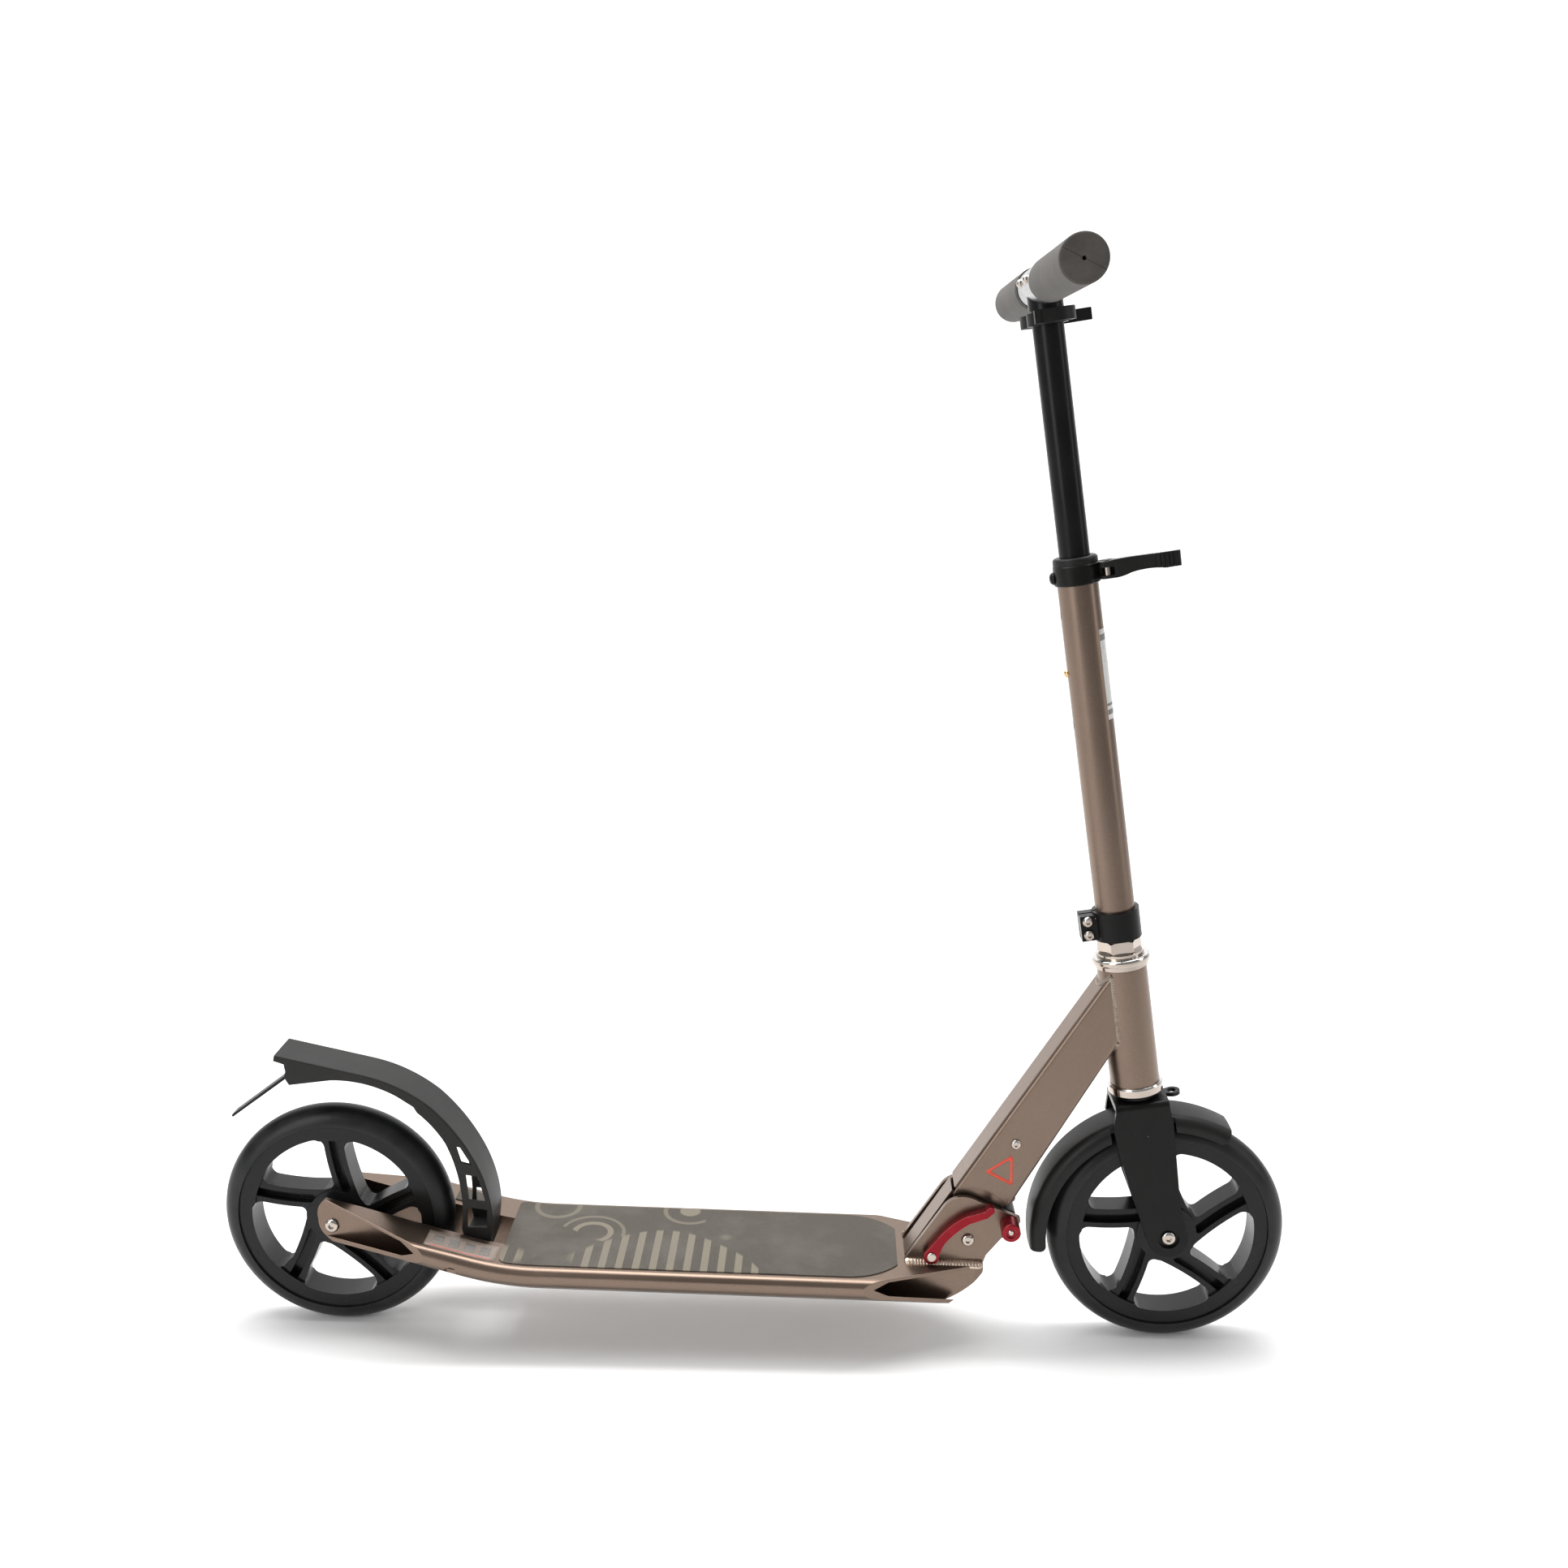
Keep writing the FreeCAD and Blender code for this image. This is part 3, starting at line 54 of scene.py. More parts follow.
# Steering axis: it passes through this point at axle height and leans back.
STEERING_FOOT = Vector((0.3449, 0, 0.1))
LEAN = math.radians(9.12)
# The top face of the deck, and the neck with its folding axis.
DECK_HEIGHT = 0.0773
DECK_TILT = math.radians(1.09)
FOLD_AXIS = Vector((0.1863, 0, 0.0955))
NECK_ANGLE = math.radians(57.7)
NECK_UNDER_ANGLE = math.radians(60.35)
NECK_BACK = 33.5 * MM
NECK_HALF = 17 * MM
NECK_UNDER_POINT = Vector((0.221, 0, 0.123))
HEAD_RADIUS = 20.3 * MM
COLUMN_RADIUS = 16 * MM


def steering_point(x, y, s):
    """World point of a place given ahead of, beside and up the steering axis, in metres."""
    return STEERING_FOOT + Vector((
        x * math.cos(LEAN) - s * math.sin(LEAN), y, x * math.sin(LEAN) + s * math.cos(LEAN)))


def steering_direction(x, y, s):
    """The same for a direction."""
    return steering_point(x, y, s) - STEERING_FOOT


def deck_level(x):
    """Height of the deck's top face where it is straight."""
    return DECK_HEIGHT - x * math.tan(DECK_TILT)


# ---------------------------------------------------------------- material nodes

class Look:
    """A material, with short calls for the nodes that it uses."""

    def __init__(self, name, roughness=0.5, metallic=0.0, **sockets):
        self.material = bpy.data.materials.new(name)
        self.material.use_nodes = True
        self.tree = self.material.node_tree
        self.shader = self.tree.nodes["Principled BSDF"]
        self.place = self.tree.nodes.new("ShaderNodeTexCoord").outputs["Object"]
        self.shader.inputs["Roughness"].default_value = roughness
        self.shader.inputs["Metallic"].default_value = metallic
        for socket, value in sockets.items():
            self.shader.inputs[socket.replace("_", " ")].default_value = value

    def node(self, kind, **settings):
        made = self.tree.nodes.new("ShaderNode" + kind)
        for key, value in settings.items():
            setattr(made, key, value)
        return made

    def feed(self, socket, value):
        """A socket takes either another node's output or a plain value."""
        if isinstance(value, bpy.types.NodeSocket):
            self.tree.links.new(value, socket)
        elif isinstance(value, tuple) and len(value) == 3 and socket.type == "RGBA":
            socket.default_value = (*value, 1)
        else:
            socket.default_value = value

    def stretched(self, factors, turn=(0, 0, 0)):
        """Object coordinates turned and then scaled, for a grain that runs one way."""
        turned = self.node("Mapping", vector_type="POINT")
        self.feed(turned.inputs["Vector"], self.place)
        self.feed(turned.inputs["Rotation"], turn)
        scaled = self.node("Mapping", vector_type="POINT")
        self.feed(scaled.inputs["Vector"], turned.outputs[0])
        self.feed(scaled.inputs["Scale"], factors)
        return scaled.outputs[0]

    def noise(self, scale, detail=2.0, rough=0.5, where=None):
        made = self.node("TexNoise")
        self.feed(made.inputs["Vector"], where or self.place)
        self.feed(made.inputs["Scale"], scale)
        self.feed(made.inputs["Detail"], detail)
        self.feed(made.inputs["Roughness"], rough)
        return made.outputs["Fac"]

    def cells(self, scale, where=None):
        made = self.node("TexVoronoi")
        self.feed(made.inputs["Vector"], where or self.place)
        self.feed(made.inputs["Scale"], scale)
        return made.outputs["Distance"]

    def ramp(self, value, stops):
        """Colour or grey that follows a value; stops are (position, grey or colour)."""
        made = self.node("ValToRGB")
        self.feed(made.inputs["Fac"], value)
        band = made.color_ramp
        while len(band.elements) < len(stops):
            band.elements.new(1.0)
        for element, (position, tone) in zip(band.elements, stops):
            element.position = position
            colour = tone if isinstance(tone, tuple) else (tone, tone, tone)
            element.color = (*colour, 1)
        return made.outputs["Color"]

    def product(self, first, second):
        made = self.node("Math", operation="MULTIPLY")
        self.feed(made.inputs[0], first)
        self.feed(made.inputs[1], second)
        return made.outputs[0]

    def mix(self, factor, first, second):
        made = self.node("Mix", data_type="RGBA")
        self.feed(made.inputs[0], factor)
        self.feed(made.inputs[6], first)
        self.feed(made.inputs[7], second)
        return made.outputs[2]

    def soft_edges(self, radius):
        """Normal with the hard edges rounded off."""
        made = self.node("Bevel", samples=6)
        self.feed(made.inputs["Radius"], radius)
        return made.outputs[0]

    def edges(self, radius):
        """About 0 on a face and 1 along a hard edge."""
        made = self.node("VectorMath", operation="DOT_PRODUCT")
        self.feed(made.inputs[0], self.soft_edges(radius))
        self.feed(made.inputs[1], self.node("NewGeometry").outputs["Normal"])
        return self.ramp(made.outputs["Value"], [(0.86, 1.0), (0.985, 0.0)])

    def bump(self, height, distance, strength, base=None):
        made = self.node("Bump")
        self.feed(made.inputs["Height"], height)
        self.feed(made.inputs["Distance"], distance)
        self.feed(made.inputs["Strength"], strength)
        if base is not None:
            self.feed(made.inputs["Normal"], base)
        return made.outputs[0]

    def finish(self, colour=None, roughness=None, normal=None):
        for socket, value in (("Base Color", colour), ("Roughness", roughness), ("Normal", normal)):
            if value is not None:
                self.feed(self.shader.inputs[socket], value)
        return self.material


def scaled(colour, factor):
    return tuple(channel * factor for channel in colour)


TAUPE = (0.205, 0.150, 0.117)

# Radius to which the Bevel node rounds hard edges, in metres.
METAL_EDGE = 0.0006
PLASTIC_EDGE = 0.0005
PLATED_EDGE = 0.0004


def anodised(name, colour, turn):
    """Satin anodised aluminium with a faint drawn grain along X of the turned frame."""
    look = Look(name, metallic=0.93)
    drawn = look.noise(1.0, 3, 0.55, look.stretched((14, 900, 900), turn))
    cloud = look.noise(9, 3)
    blast = look.noise(2600, 2)
    tone = look.ramp(cloud, [(0.3, scaled(colour, 0.9)), (0.7, scaled(colour, 1.08))])
    lines = look.ramp(drawn, [(0.35, scaled(colour, 0.65)), (0.65, scaled(colour, 1.4))])
    tone = look.mix(0.05, tone, lines)
    dots = look.ramp(blast, [(0.35, scaled(colour, 0.5)), (0.65, scaled(colour, 1.7))])
    tone = look.mix(0.22, tone, dots)
    # Edges made lighter: edge wear in patches, and partly a painted highlight along the edges.
    patches = look.ramp(look.noise(160, 3), [(0.25, 0.35), (0.6, 1.0)])
    lightened_edges = look.product(look.edges(METAL_EDGE), patches)
    tone = look.mix(lightened_edges, tone, scaled(colour, 2.0))
    rough = look.ramp(cloud, [(0.3, 0.27), (0.7, 0.36)])
    surface = look.bump(blast, 0.00004, 0.35, look.soft_edges(METAL_EDGE))
    surface = look.bump(drawn, 0.00002, 0.12, surface)
    return look.finish(tone, rough, surface)


def painted(name, colour, roughness, coat):
    """Smooth paint with a little orange peel, dust and small chips."""
    look = Look(name, Coat_Weight=coat, Coat_Roughness=0.1, Coat_IOR=1.25,
                Specular_IOR_Level=0.13)
    dust = look.noise(28, 4)
    specks = look.ramp(look.cells(150), [(0.05, 1.0), (0.075, 0.0)])
    chance = look.ramp(look.noise(35, 1), [(0.62, 0.0), (0.64, 1.0)])
    tone = look.ramp(dust, [(0.3, colour), (0.75, scaled(colour, 1.5))])
    tone = look.mix(look.product(specks, chance), tone, (0.30, 0.28, 0.26))
    rough = look.ramp(dust, [(0.3, roughness), (0.8, roughness + 0.12)])
    surface = look.bump(look.noise(420, 2), 0.00005, 0.25, look.soft_edges(PLASTIC_EDGE))
    return look.finish(tone, rough, surface)


def moulded(name, colour, roughness, grain=1500, depth=0.00006, scuff=0.2):
    """Moulded plastic with a spark-eroded grain and pale scuffs."""
    look = Look(name, Specular_IOR_Level=0.24)
    cloud = look.noise(16, 4)
    scratches = look.noise(1.0, 4, 0.7, look.stretched((60, 500, 500), (0, 0.5, 0.3)))
    rubbed = look.product(look.ramp(scratches, [(0.60, 0.0), (0.72, scuff)]),
                      look.ramp(look.noise(22, 3), [(0.45, 0.0), (0.6, 1.0)]))
    tone = look.ramp(cloud, [(0.3, scaled(colour, 0.85)), (0.7, scaled(colour, 1.25))])
    tone = look.mix(rubbed, tone, scaled(colour, 4.5))
    # All edges made a little lighter.
    lightened_edges = look.product(look.edges(PLASTIC_EDGE), 0.35)
    tone = look.mix(lightened_edges, tone, scaled(colour, 3.0))
    rough = look.ramp(cloud, [(0.3, roughness - 0.05), (0.7, roughness + 0.07)])
    surface = look.bump(look.noise(grain, 3, 0.6), depth, 0.6, look.soft_edges(PLASTIC_EDGE))
    return look.finish(tone, rough, surface)


def plated(name, colour, roughness, shade=None):
    """Bright plating with hairlines and slight hazing; faces that look down or sideways can take a
    warm tint, a painted reflection of warm surroundings.
    """
    look = Look(name, metallic=1.0)
    haze = look.noise(70, 3)
    hairs = look.noise(1.0, 2, 0.6, look.stretched((90, 2400, 2400), (0.4, 0.2, 0.9)))
    tone = look.ramp(haze, [(0.3, scaled(colour, 0.9)), (0.7, colour)])
    # shade is the colour of a painted warm reflection, laid on faces that look down or sideways.
    if shade is not None:
        facing = look.node("SeparateXYZ")
        look.feed(facing.inputs[0], look.node("NewGeometry").outputs["Normal"])
        painted_reflection = look.ramp(facing.outputs["Z"], [(0.0, 0.62), (0.30, 0.45), (0.50, 0.0)])
        tone = look.mix(painted_reflection, tone, shade)
    rough = look.ramp(haze, [(0.3, roughness), (0.8, roughness + 0.1)])
    surface = look.bump(hairs, 0.00002, 0.2, look.soft_edges(PLATED_EDGE))
    return look.finish(tone, rough, surface)


def red_anodised(name):
    """Red anodised aluminium, brighter where the edges are rubbed."""
    look = Look(name, metallic=0.82)
    cloud = look.noise(60, 3)
    tone = look.ramp(cloud, [(0.3, (0.215, 0.009, 0.016)), (0.7, (0.28, 0.013, 0.021))])
    tone = look.mix(look.edges(METAL_EDGE), tone, (0.75, 0.16, 0.17))
    rough = look.ramp(cloud, [(0.3, 0.27), (0.7, 0.36)])
    surface = look.bump(look.noise(2200, 2), 0.00003, 0.35, look.soft_edges(METAL_EDGE))
    return look.finish(tone, rough, surface)


def tape_look(name):
    """Abrasive tape: mineral grains over a two-tone print of rings and bars."""
    look = Look(name, Specular_IOR_Level=0.35)
    x_y = look.node("SeparateXYZ")
    look.feed(x_y.inputs[0], look.place)
    flat = (1, 1, 0.01)
    rings = look.ramp(look.cells(13, where=look.stretched(flat)), [
        (0.17, 0.0), (0.18, 1.0), (0.235, 1.0), (0.245, 0.0),
        (0.33, 0.0), (0.34, 0.7), (0.37, 0.7), (0.38, 0.0)])
    bars = look.node("TexWave", wave_type="BANDS", bands_direction="X")
    look.feed(bars.inputs["Vector"], look.place)
    look.feed(bars.inputs["Scale"], 22)
    stripes = look.ramp(bars.outputs["Fac"], [(0.60, 0.0), (0.63, 1.0)])
    zones = look.ramp(look.noise(9, 0, where=look.stretched(flat)), [(0.44, 0.0), (0.45, 1.0)])
    rare = look.ramp(look.noise(5.5, 0, where=look.stretched(flat, (0, 0, 0.7))),
                     [(0.56, 0.0), (0.565, 1.0)])
    print_mask = look.mix(rare, look.product(rings, zones), stripes)
    grains = look.cells(1500)
    sparkle = look.noise(2600, 2, 0.8)
    wear = look.noise(14, 4, 0.65)
    dark = look.ramp(sparkle, [(0.3, (0.048, 0.042, 0.034)), (0.7, (0.125, 0.112, 0.094))])
    pale = look.ramp(sparkle, [(0.3, (0.150, 0.130, 0.098)), (0.7, (0.260, 0.232, 0.182))])
    tone = look.mix(print_mask, dark, pale)
    tone = look.mix(look.ramp(wear, [(0.45, 0.0), (0.8, 0.45)]), tone, (0.20, 0.185, 0.165))
    surface = look.bump(grains, 0.00028, 0.8, look.bump(sparkle, 0.0002, 0.6))
    return look.finish(tone, look.ramp(sparkle, [(0.3, 0.75), (0.7, 0.95)]), surface)


def rubber(name, colour, roughness):
    """Satin rubber with dust in patches and a fine grain."""
    look = Look(name, Specular_IOR_Level=0.26)
    dust = look.noise(24, 5, 0.65)
    tone = look.ramp(dust, [(0.35, colour), (0.75, scaled(colour, 2.4))])
    rough = look.ramp(dust, [(0.3, roughness), (0.75, roughness + 0.2)])
    surface = look.bump(look.noise(900, 3), 0.00005, 0.4)
    return look.finish(tone, rough, surface)


def foam_look(name):
    """Closed-cell foam with a faint sheen, mottled in tone and roughness."""
    look = Look(name, Sheen_Weight=0.08, Sheen_Roughness=0.6, Specular_IOR_Level=0.25)
    pores = look.cells(1100)
    mottle = look.noise(55, 4, 0.6)
    tone = look.ramp(mottle, [(0.3, (0.062, 0.056, 0.050)), (0.7, (0.100, 0.091, 0.083))])
    # Pore centres painted darker: painted shade in the pits that the bump makes.
    tone = look.mix(look.ramp(pores, [(0.05, 0.5), (0.25, 0.0)]), tone, (0.05, 0.046, 0.043))
    surface = look.bump(pores, 0.00025, 0.55, look.bump(mottle, 0.0004, 0.35))
    return look.finish(tone, look.ramp(mottle, [(0.3, 0.82), (0.7, 0.95)]), surface)


def weld_look(name, shade):
    """Weld metal in three tones; a lower shade darkens all of them."""
    look = Look(name, metallic=0.9)
    tint = look.noise(210, 3)
    tone = look.ramp(tint, [(0.3, scaled((0.42, 0.33, 0.26), shade)),
                            (0.55, scaled((0.60, 0.49, 0.40), shade)),
                            (0.75, scaled((0.50, 0.38, 0.30), shade))])
    rough = look.ramp(tint, [(0.3, 0.28), (0.7, 0.40)])
    return look.finish(tone, rough, look.bump(look.noise(1800, 2), 0.00003, 0.4))


def printed(name, colour):
    """Printed film: flat ink with light rubbing."""
    look = Look(name, Coat_Weight=0.2, Coat_Roughness=0.3)
    rubbed = look.ramp(look.noise(120, 4, 0.7), [(0.52, 0.0), (0.75, 0.5)])
    ink = look.ramp(look.noise(40, 2), [(0.3, scaled(colour, 0.9)), (0.7, colour)])
    tone = look.mix(rubbed, ink, scaled(TAUPE, 0.9))
    return look.finish(tone, None, look.bump(look.noise(1500, 2), 0.00002, 0.3))


# Turns that bring the drawn grain along the deck, the neck and the steering axis.
ALONG_DECK = (0, 0, 0)
ALONG_NECK = (0, NECK_ANGLE, 0)
ALONG_STEERING = (0, math.pi / 2 + LEAN, 0)

LOOKS = {
    "deck_metal": anodised("deck_anodised", TAUPE, ALONG_DECK),
    "neck_metal": anodised("neck_anodised", TAUPE, ALONG_NECK),
    "column_metal": anodised("column_anodised", TAUPE, ALONG_STEERING),
    "grip_tape": tape_look("abrasive_tape"),
    "weld": weld_look("weld_bead", 1.15),
    # Its last colour is a painted warm reflection on the faces that look down or sideways.
    "bright_steel": plated("chrome_plating", (0.70, 0.69, 0.67), 0.07, (0.40, 0.29, 0.215)),
    "zinc_steel": plated("zinc_plating", (0.58, 0.57, 0.56), 0.30),
    "black_steel": painted("black_paint", (0.0055, 0.0052, 0.005), 0.30, 0.25),
    "upper_black": painted("black_tube_paint", (0.005, 0.005, 0.0055), 0.26, 0.3),
    "red_metal": red_anodised("red_anodised"),
    "black_plastic": moulded("black_plastic", (0.0085, 0.0083, 0.008), 0.40),
    "fender_plastic": moulded("fender_plastic", (0.0155, 0.0145, 0.014), 0.44, 1300, 0.00008, 0.3),
    "rim_plastic": moulded("rim_plastic", (0.0075, 0.0075, 0.0075), 0.24, 700, 0.00003, 0.12),
    "tyre": rubber("cast_tread", (0.0085, 0.0085, 0.0088), 0.27),
    "black_rubber": rubber("black_rubber", (0.014, 0.014, 0.014), 0.7),
    "grip_foam": foam_look("grip_foam"),
    "tee_silver": plated("satin_silver", (0.34, 0.34, 0.34), 0.24),
    "gold": plated("gold_tone", (0.75, 0.52, 0.25), 0.2),
}

for row in frame["record"]["subparts"]:
    materials = nodes[row["node"]].data.materials
    materials.clear()
    materials.append(LOOKS[row["material_slot"]])


# ---------------------------------------------------------------- meshes

def piece(name, points, faces, body, material):
    """New mesh object that rides on a CAD body."""
    mesh = bpy.data.meshes.new(name)
    mesh.from_pydata([tuple(p) for p in points], [], faces)
    mesh.validate()
    mesh.update()
    for polygon in mesh.polygons:
        polygon.use_smooth = True
    mesh.materials.append(material)
    made = bpy.data.objects.new(name, mesh)
    bpy.context.scene.collection.objects.link(made)
    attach(made, body)
    return made


def grid_faces(rows, columns, closed=False):
    """Quads over a grid of points stored row by row; a closed grid wraps both ways."""
    faces = []
    for i in range(rows if closed else rows - 1):
        for j in range(columns if closed else columns - 1):
            across = (j + 1) % columns
            here, below = i * columns, (i + 1) % rows * columns
            faces.append((here + j, here + across, below + across, below + j))
    return faces


# ---------------------------------------------------------------- foam grips

GRIP_COLUMNS = 96
GRIP_BORE = 11.1 * MM
GRIP_CAP = 5 * MM
GRIP_HOLE = 1.4 * MM
# Rounding of the foam at the collar, at the free end and at the hole in the end face.
COLLAR_ROUND = 1 * MM
END_ROUND = 1.8 * MM
HOLE_ROUND = 0.4 * MM
SLIT_ANGLE = math.radians(-25)
SLIT_HALF = 0.22 * MM
SLIT_DEPTH = 0.9 * MM


def rounded(centre, radius, start, finish, steps=6):
    """Arc of the profile about a centre, between two angles in degrees."""
    arc = []
    for k in range(steps + 1):
        angle = math.radians(start + (finish - start) * k / steps)
        arc.append((centre[0] + radius * math.cos(angle), centre[1] + radius * math.sin(angle)))
    return arc


def grip_profile(length, radius):
    """(along, radius) loop of the foam, from the collar end over the outside to the bore."""
    profile = [(0, GRIP_BORE), (0, GRIP_BORE + 0.5 * (radius - GRIP_BORE))]
    profile += rounded((COLLAR_ROUND, radius - COLLAR_ROUND), COLLAR_ROUND, 180, 90)
    steps = 48
    for k in range(1, steps):
        profile.append((COLLAR_ROUND + (length - 3.2 * MM) * k / steps, radius))
    profile += rounded((length - END_ROUND, radius - END_ROUND), END_ROUND, 90, 0, 8)
    for share in (0.8, 0.6, 0.4, 0.2):
        reach = GRIP_HOLE + HOLE_ROUND + (radius - END_ROUND - GRIP_HOLE) * share
        profile.append((length, reach))
    profile.append((length, GRIP_HOLE + HOLE_ROUND))
    profile.append((length - HOLE_ROUND, GRIP_HOLE))
    profile.append((length - GRIP_CAP, GRIP_HOLE))
    profile.append((length - GRIP_CAP, GRIP_BORE))
    return profile


def slit_angles(half):
    """(angle, in slit) for each column; the slit crosses the end face on a line."""
    angles = []
    plain = GRIP_COLUMNS // 2 - 2
    gap = math.pi - 2 * half
    for slit in (SLIT_ANGLE, SLIT_ANGLE + math.pi):
        angles += [(slit - half, 0), (slit, 1), (slit + half, 0)]
        angles += [(slit + half + gap * k / plain, 0) for k in range(1, plain)]
    return angles


def foam_grip(name, node, body, side):
    """Grip with its rounded end, centre hole and slit, in the box of the CAD grip."""
    low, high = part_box(node)
    centre = (low + high) / 2
    radius = (high.z - low.z) / 2
    start = high.y if side < 0 else low.y
    profile = grip_profile(high.y - low.y, radius)
    bore_end = profile[-1][0]
    points = []
    for along, reach in profile:
        half = math.asin(min(0.9, SLIT_HALF / max(reach, SLIT_HALF)))
        on_face = along > bore_end and 1.3 * MM < reach < radius - 0.5 * MM
        for angle, in_slit in slit_angles(half):
            sideways = Vector((math.cos(angle), 0, math.sin(angle)))
            place = Vector((math.cos(angle) * reach, 0, math.sin(angle) * reach))
            sunk = SLIT_DEPTH if in_slit and on_face else 0
            place.y = start + side * (along - sunk) - centre.y
            if reach > 12 * MM:
                place += sideways * (noise.noise(place * 45) * 0.05 * MM)
            points.append(centre + place)
    faces = grid_faces(len(profile), GRIP_COLUMNS, closed=True)
    if side > 0:
        faces = [tuple(reversed(face)) for face in faces]
    grip = piece(name, points, faces, body, LOOKS["grip_foam"])
    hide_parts(node)


foam_grip("right_foam_grip", "right_grip", "right_handle", -1)
foam_grip("left_foam_grip", "left_grip", "left_handle", 1)


# ---------------------------------------------------------------- weld beads

BEAD_STEP = 0.22 * MM
BEAD_COLUMNS = 15
BEAD_SUNK = 0.25 * MM
BEAD_WANDER = 0.3 * MM
BEAD_UNEVEN = 1.1 * MM
CRESCENT = 2.2 * MM


def bead(name, path, width, height, body, pitch, material):
    """Rippled weld along a path of (point, outward normal); each ripple is a crescent."""
    lengths = [0.0]
    for (a, _), (b, _) in zip(path, path[1:]):
        lengths.append(lengths[-1] + (b - a).length)
    total = lengths[-1]
    rows = max(24, int(total / BEAD_STEP))
    columns = BEAD_COLUMNS
    points = []
    for i in range(rows):
        travelled = total * i / (rows - 1)
        k = max(j for j in range(len(lengths) - 1) if lengths[j] <= travelled + 1e-12)
        share = (travelled - lengths[k]) / (lengths[k + 1] - lengths[k])
        (a, normal_a), (b, normal_b) = path[k], path[k + 1]
        middle = a.lerp(b, share)
        outward = normal_a.lerp(normal_b, share).normalized()
        ahead = (b - a).normalized()
        across = outward.cross(ahead).normalized()
        from_end = min(travelled, total - travelled)
        to_tip = 1 - min(1.0, from_end / (width * 0.5))
        taper = min(1.0, math.sqrt(max(0.0, 1 - to_tip ** 2)) + 0.02)
        wander = noise.noise(middle * 260) * BEAD_WANDER
        uneven = noise.noise(middle * 140) * BEAD_UNEVEN
        for j in range(columns):
            v = -1 + 2 * j / (columns - 1)
            dome = math.sqrt(max(0.0, 1 - v * v))
            phase = (travelled + dome * CRESCENT + uneven) / pitch
            scale = 1 - (phase - math.floor(phase))
            lift = height * dome * (0.80 + 0.20 * scale ** 1.5) * taper - BEAD_SUNK
            points.append(middle + across * (v * width / 2 * taper + wander) + outward * lift)
    faces = grid_faces(rows, columns)
    base = len(points)
    for row in (0, rows - 1):
        ring = [row * columns + j for j in range(columns)]
        points.append(sum((Vector(points[j]) for j in ring), Vector()) / columns)
        for j in range(columns - 1):
            pair = (ring[j + 1], ring[j]) if row == 0 else (ring[j], ring[j + 1])
            faces.append((*pair, base))
        base += 1
    return piece(name, points, faces, body, material)


welds_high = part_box("bracket_welds")[1]


def deck_bead(name, side):
    """Bead in the corner between the deck and a plate of the folding bracket."""
    x_low = 133 * MM
    x_high = welds_high.x + 0.8 * MM
    outward = Vector((0, side * 0.75, 1)).normalized()
    path = []
    for k in range(9):
        x = x_low + (x_high - x_low) * k / 8
        path.append((Vector((x, side * 24.2 * MM, deck_level(x) + 0.5 * MM)), outward))
    return bead(name, path, 8.2 * MM, 2.6 * MM, "deck_frame", 2.7 * MM, LOOKS["weld"])


right_bead = deck_bead("right_bracket_weld", -1)
deck_bead("left_bracket_weld", 1)
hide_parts("bracket_welds")

HEAD_WELD = weld_look("anodised_weld_bead", 0.52)


def level_on_plane(x, y, anchor, angle, offset):
    """Height along the steering axis where a neck face meets the line x, y of the head tube."""
    base = steering_point(x, y, 0) - anchor
    rise = steering_direction(0, 0, 1)
    normal = Vector((-math.sin(angle), 0, math.cos(angle)))
    return (offset - base.dot(normal)) / rise.dot(normal)


def head_weld(side):
    """Bead down one side of the joint between the neck and the head tube."""
    x = -math.sqrt(HEAD_RADIUS ** 2 - NECK_HALF ** 2)
    top = level_on_plane(x, 0, FOLD_AXIS, NECK_ANGLE, NECK_BACK) - 1 * MM
    foot = level_on_plane(x, 0, NECK_UNDER_POINT, NECK_UNDER_ANGLE, 0) + 1 * MM
    outward = steering_direction(-0.25, side, 0).normalized()
    sunk = 0.3 * MM
    path = []
    for k in range(9):
        s = top + (foot - top) * k / 8
        path.append((steering_point(x - sunk, side * (NECK_HALF - sunk), s), outward))
    name = "right_head_weld" if side < 0 else "left_head_weld"
    bead(name, path, 5.8 * MM, 1.15 * MM, "fold_frame", 2.2 * MM, HEAD_WELD)


def cross_head_weld(name, anchor, angle, offset, up):
    """Bead across the top or the underside of the neck, against the head tube."""
    path = []
    for k in range(13):
        y = NECK_HALF * (-1 + 2 * k / 12)
        x = -math.sqrt(HEAD_RADIUS ** 2 - y * y)
        s = level_on_plane(x, y, anchor, angle, offset)
        outward = steering_direction(x, y, 0).normalized() * 0.8 + Vector((0, 0, up))
        outward.normalize()
        path.append((steering_point(x - 0.4 * MM, y, s), outward))
    bead(name, path, 5.4 * MM, 1.2 * MM, "fold_frame", 2.2 * MM, HEAD_WELD)


for side in (-1, 1):
    head_weld(side)
cross_head_weld("top_head_weld", FOLD_AXIS, NECK_ANGLE, NECK_BACK, 1.0)
cross_head_weld("under_head_weld", NECK_UNDER_POINT, NECK_UNDER_ANGLE, 0, -1.0)


# ---------------------------------------------------------------- printed marks

WHITE_INK = printed("white_film", (0.70, 0.69, 0.67))
GREY_INK = printed("grey_film", (0.20, 0.185, 0.17))
RED_INK = printed("red_film", (0.78, 0.075, 0.035))
PALE_INK = printed("pale_film", (0.255, 0.205, 0.170))
FILM = 0.12 * MM
FILM_SUNK = 0.05 * MM


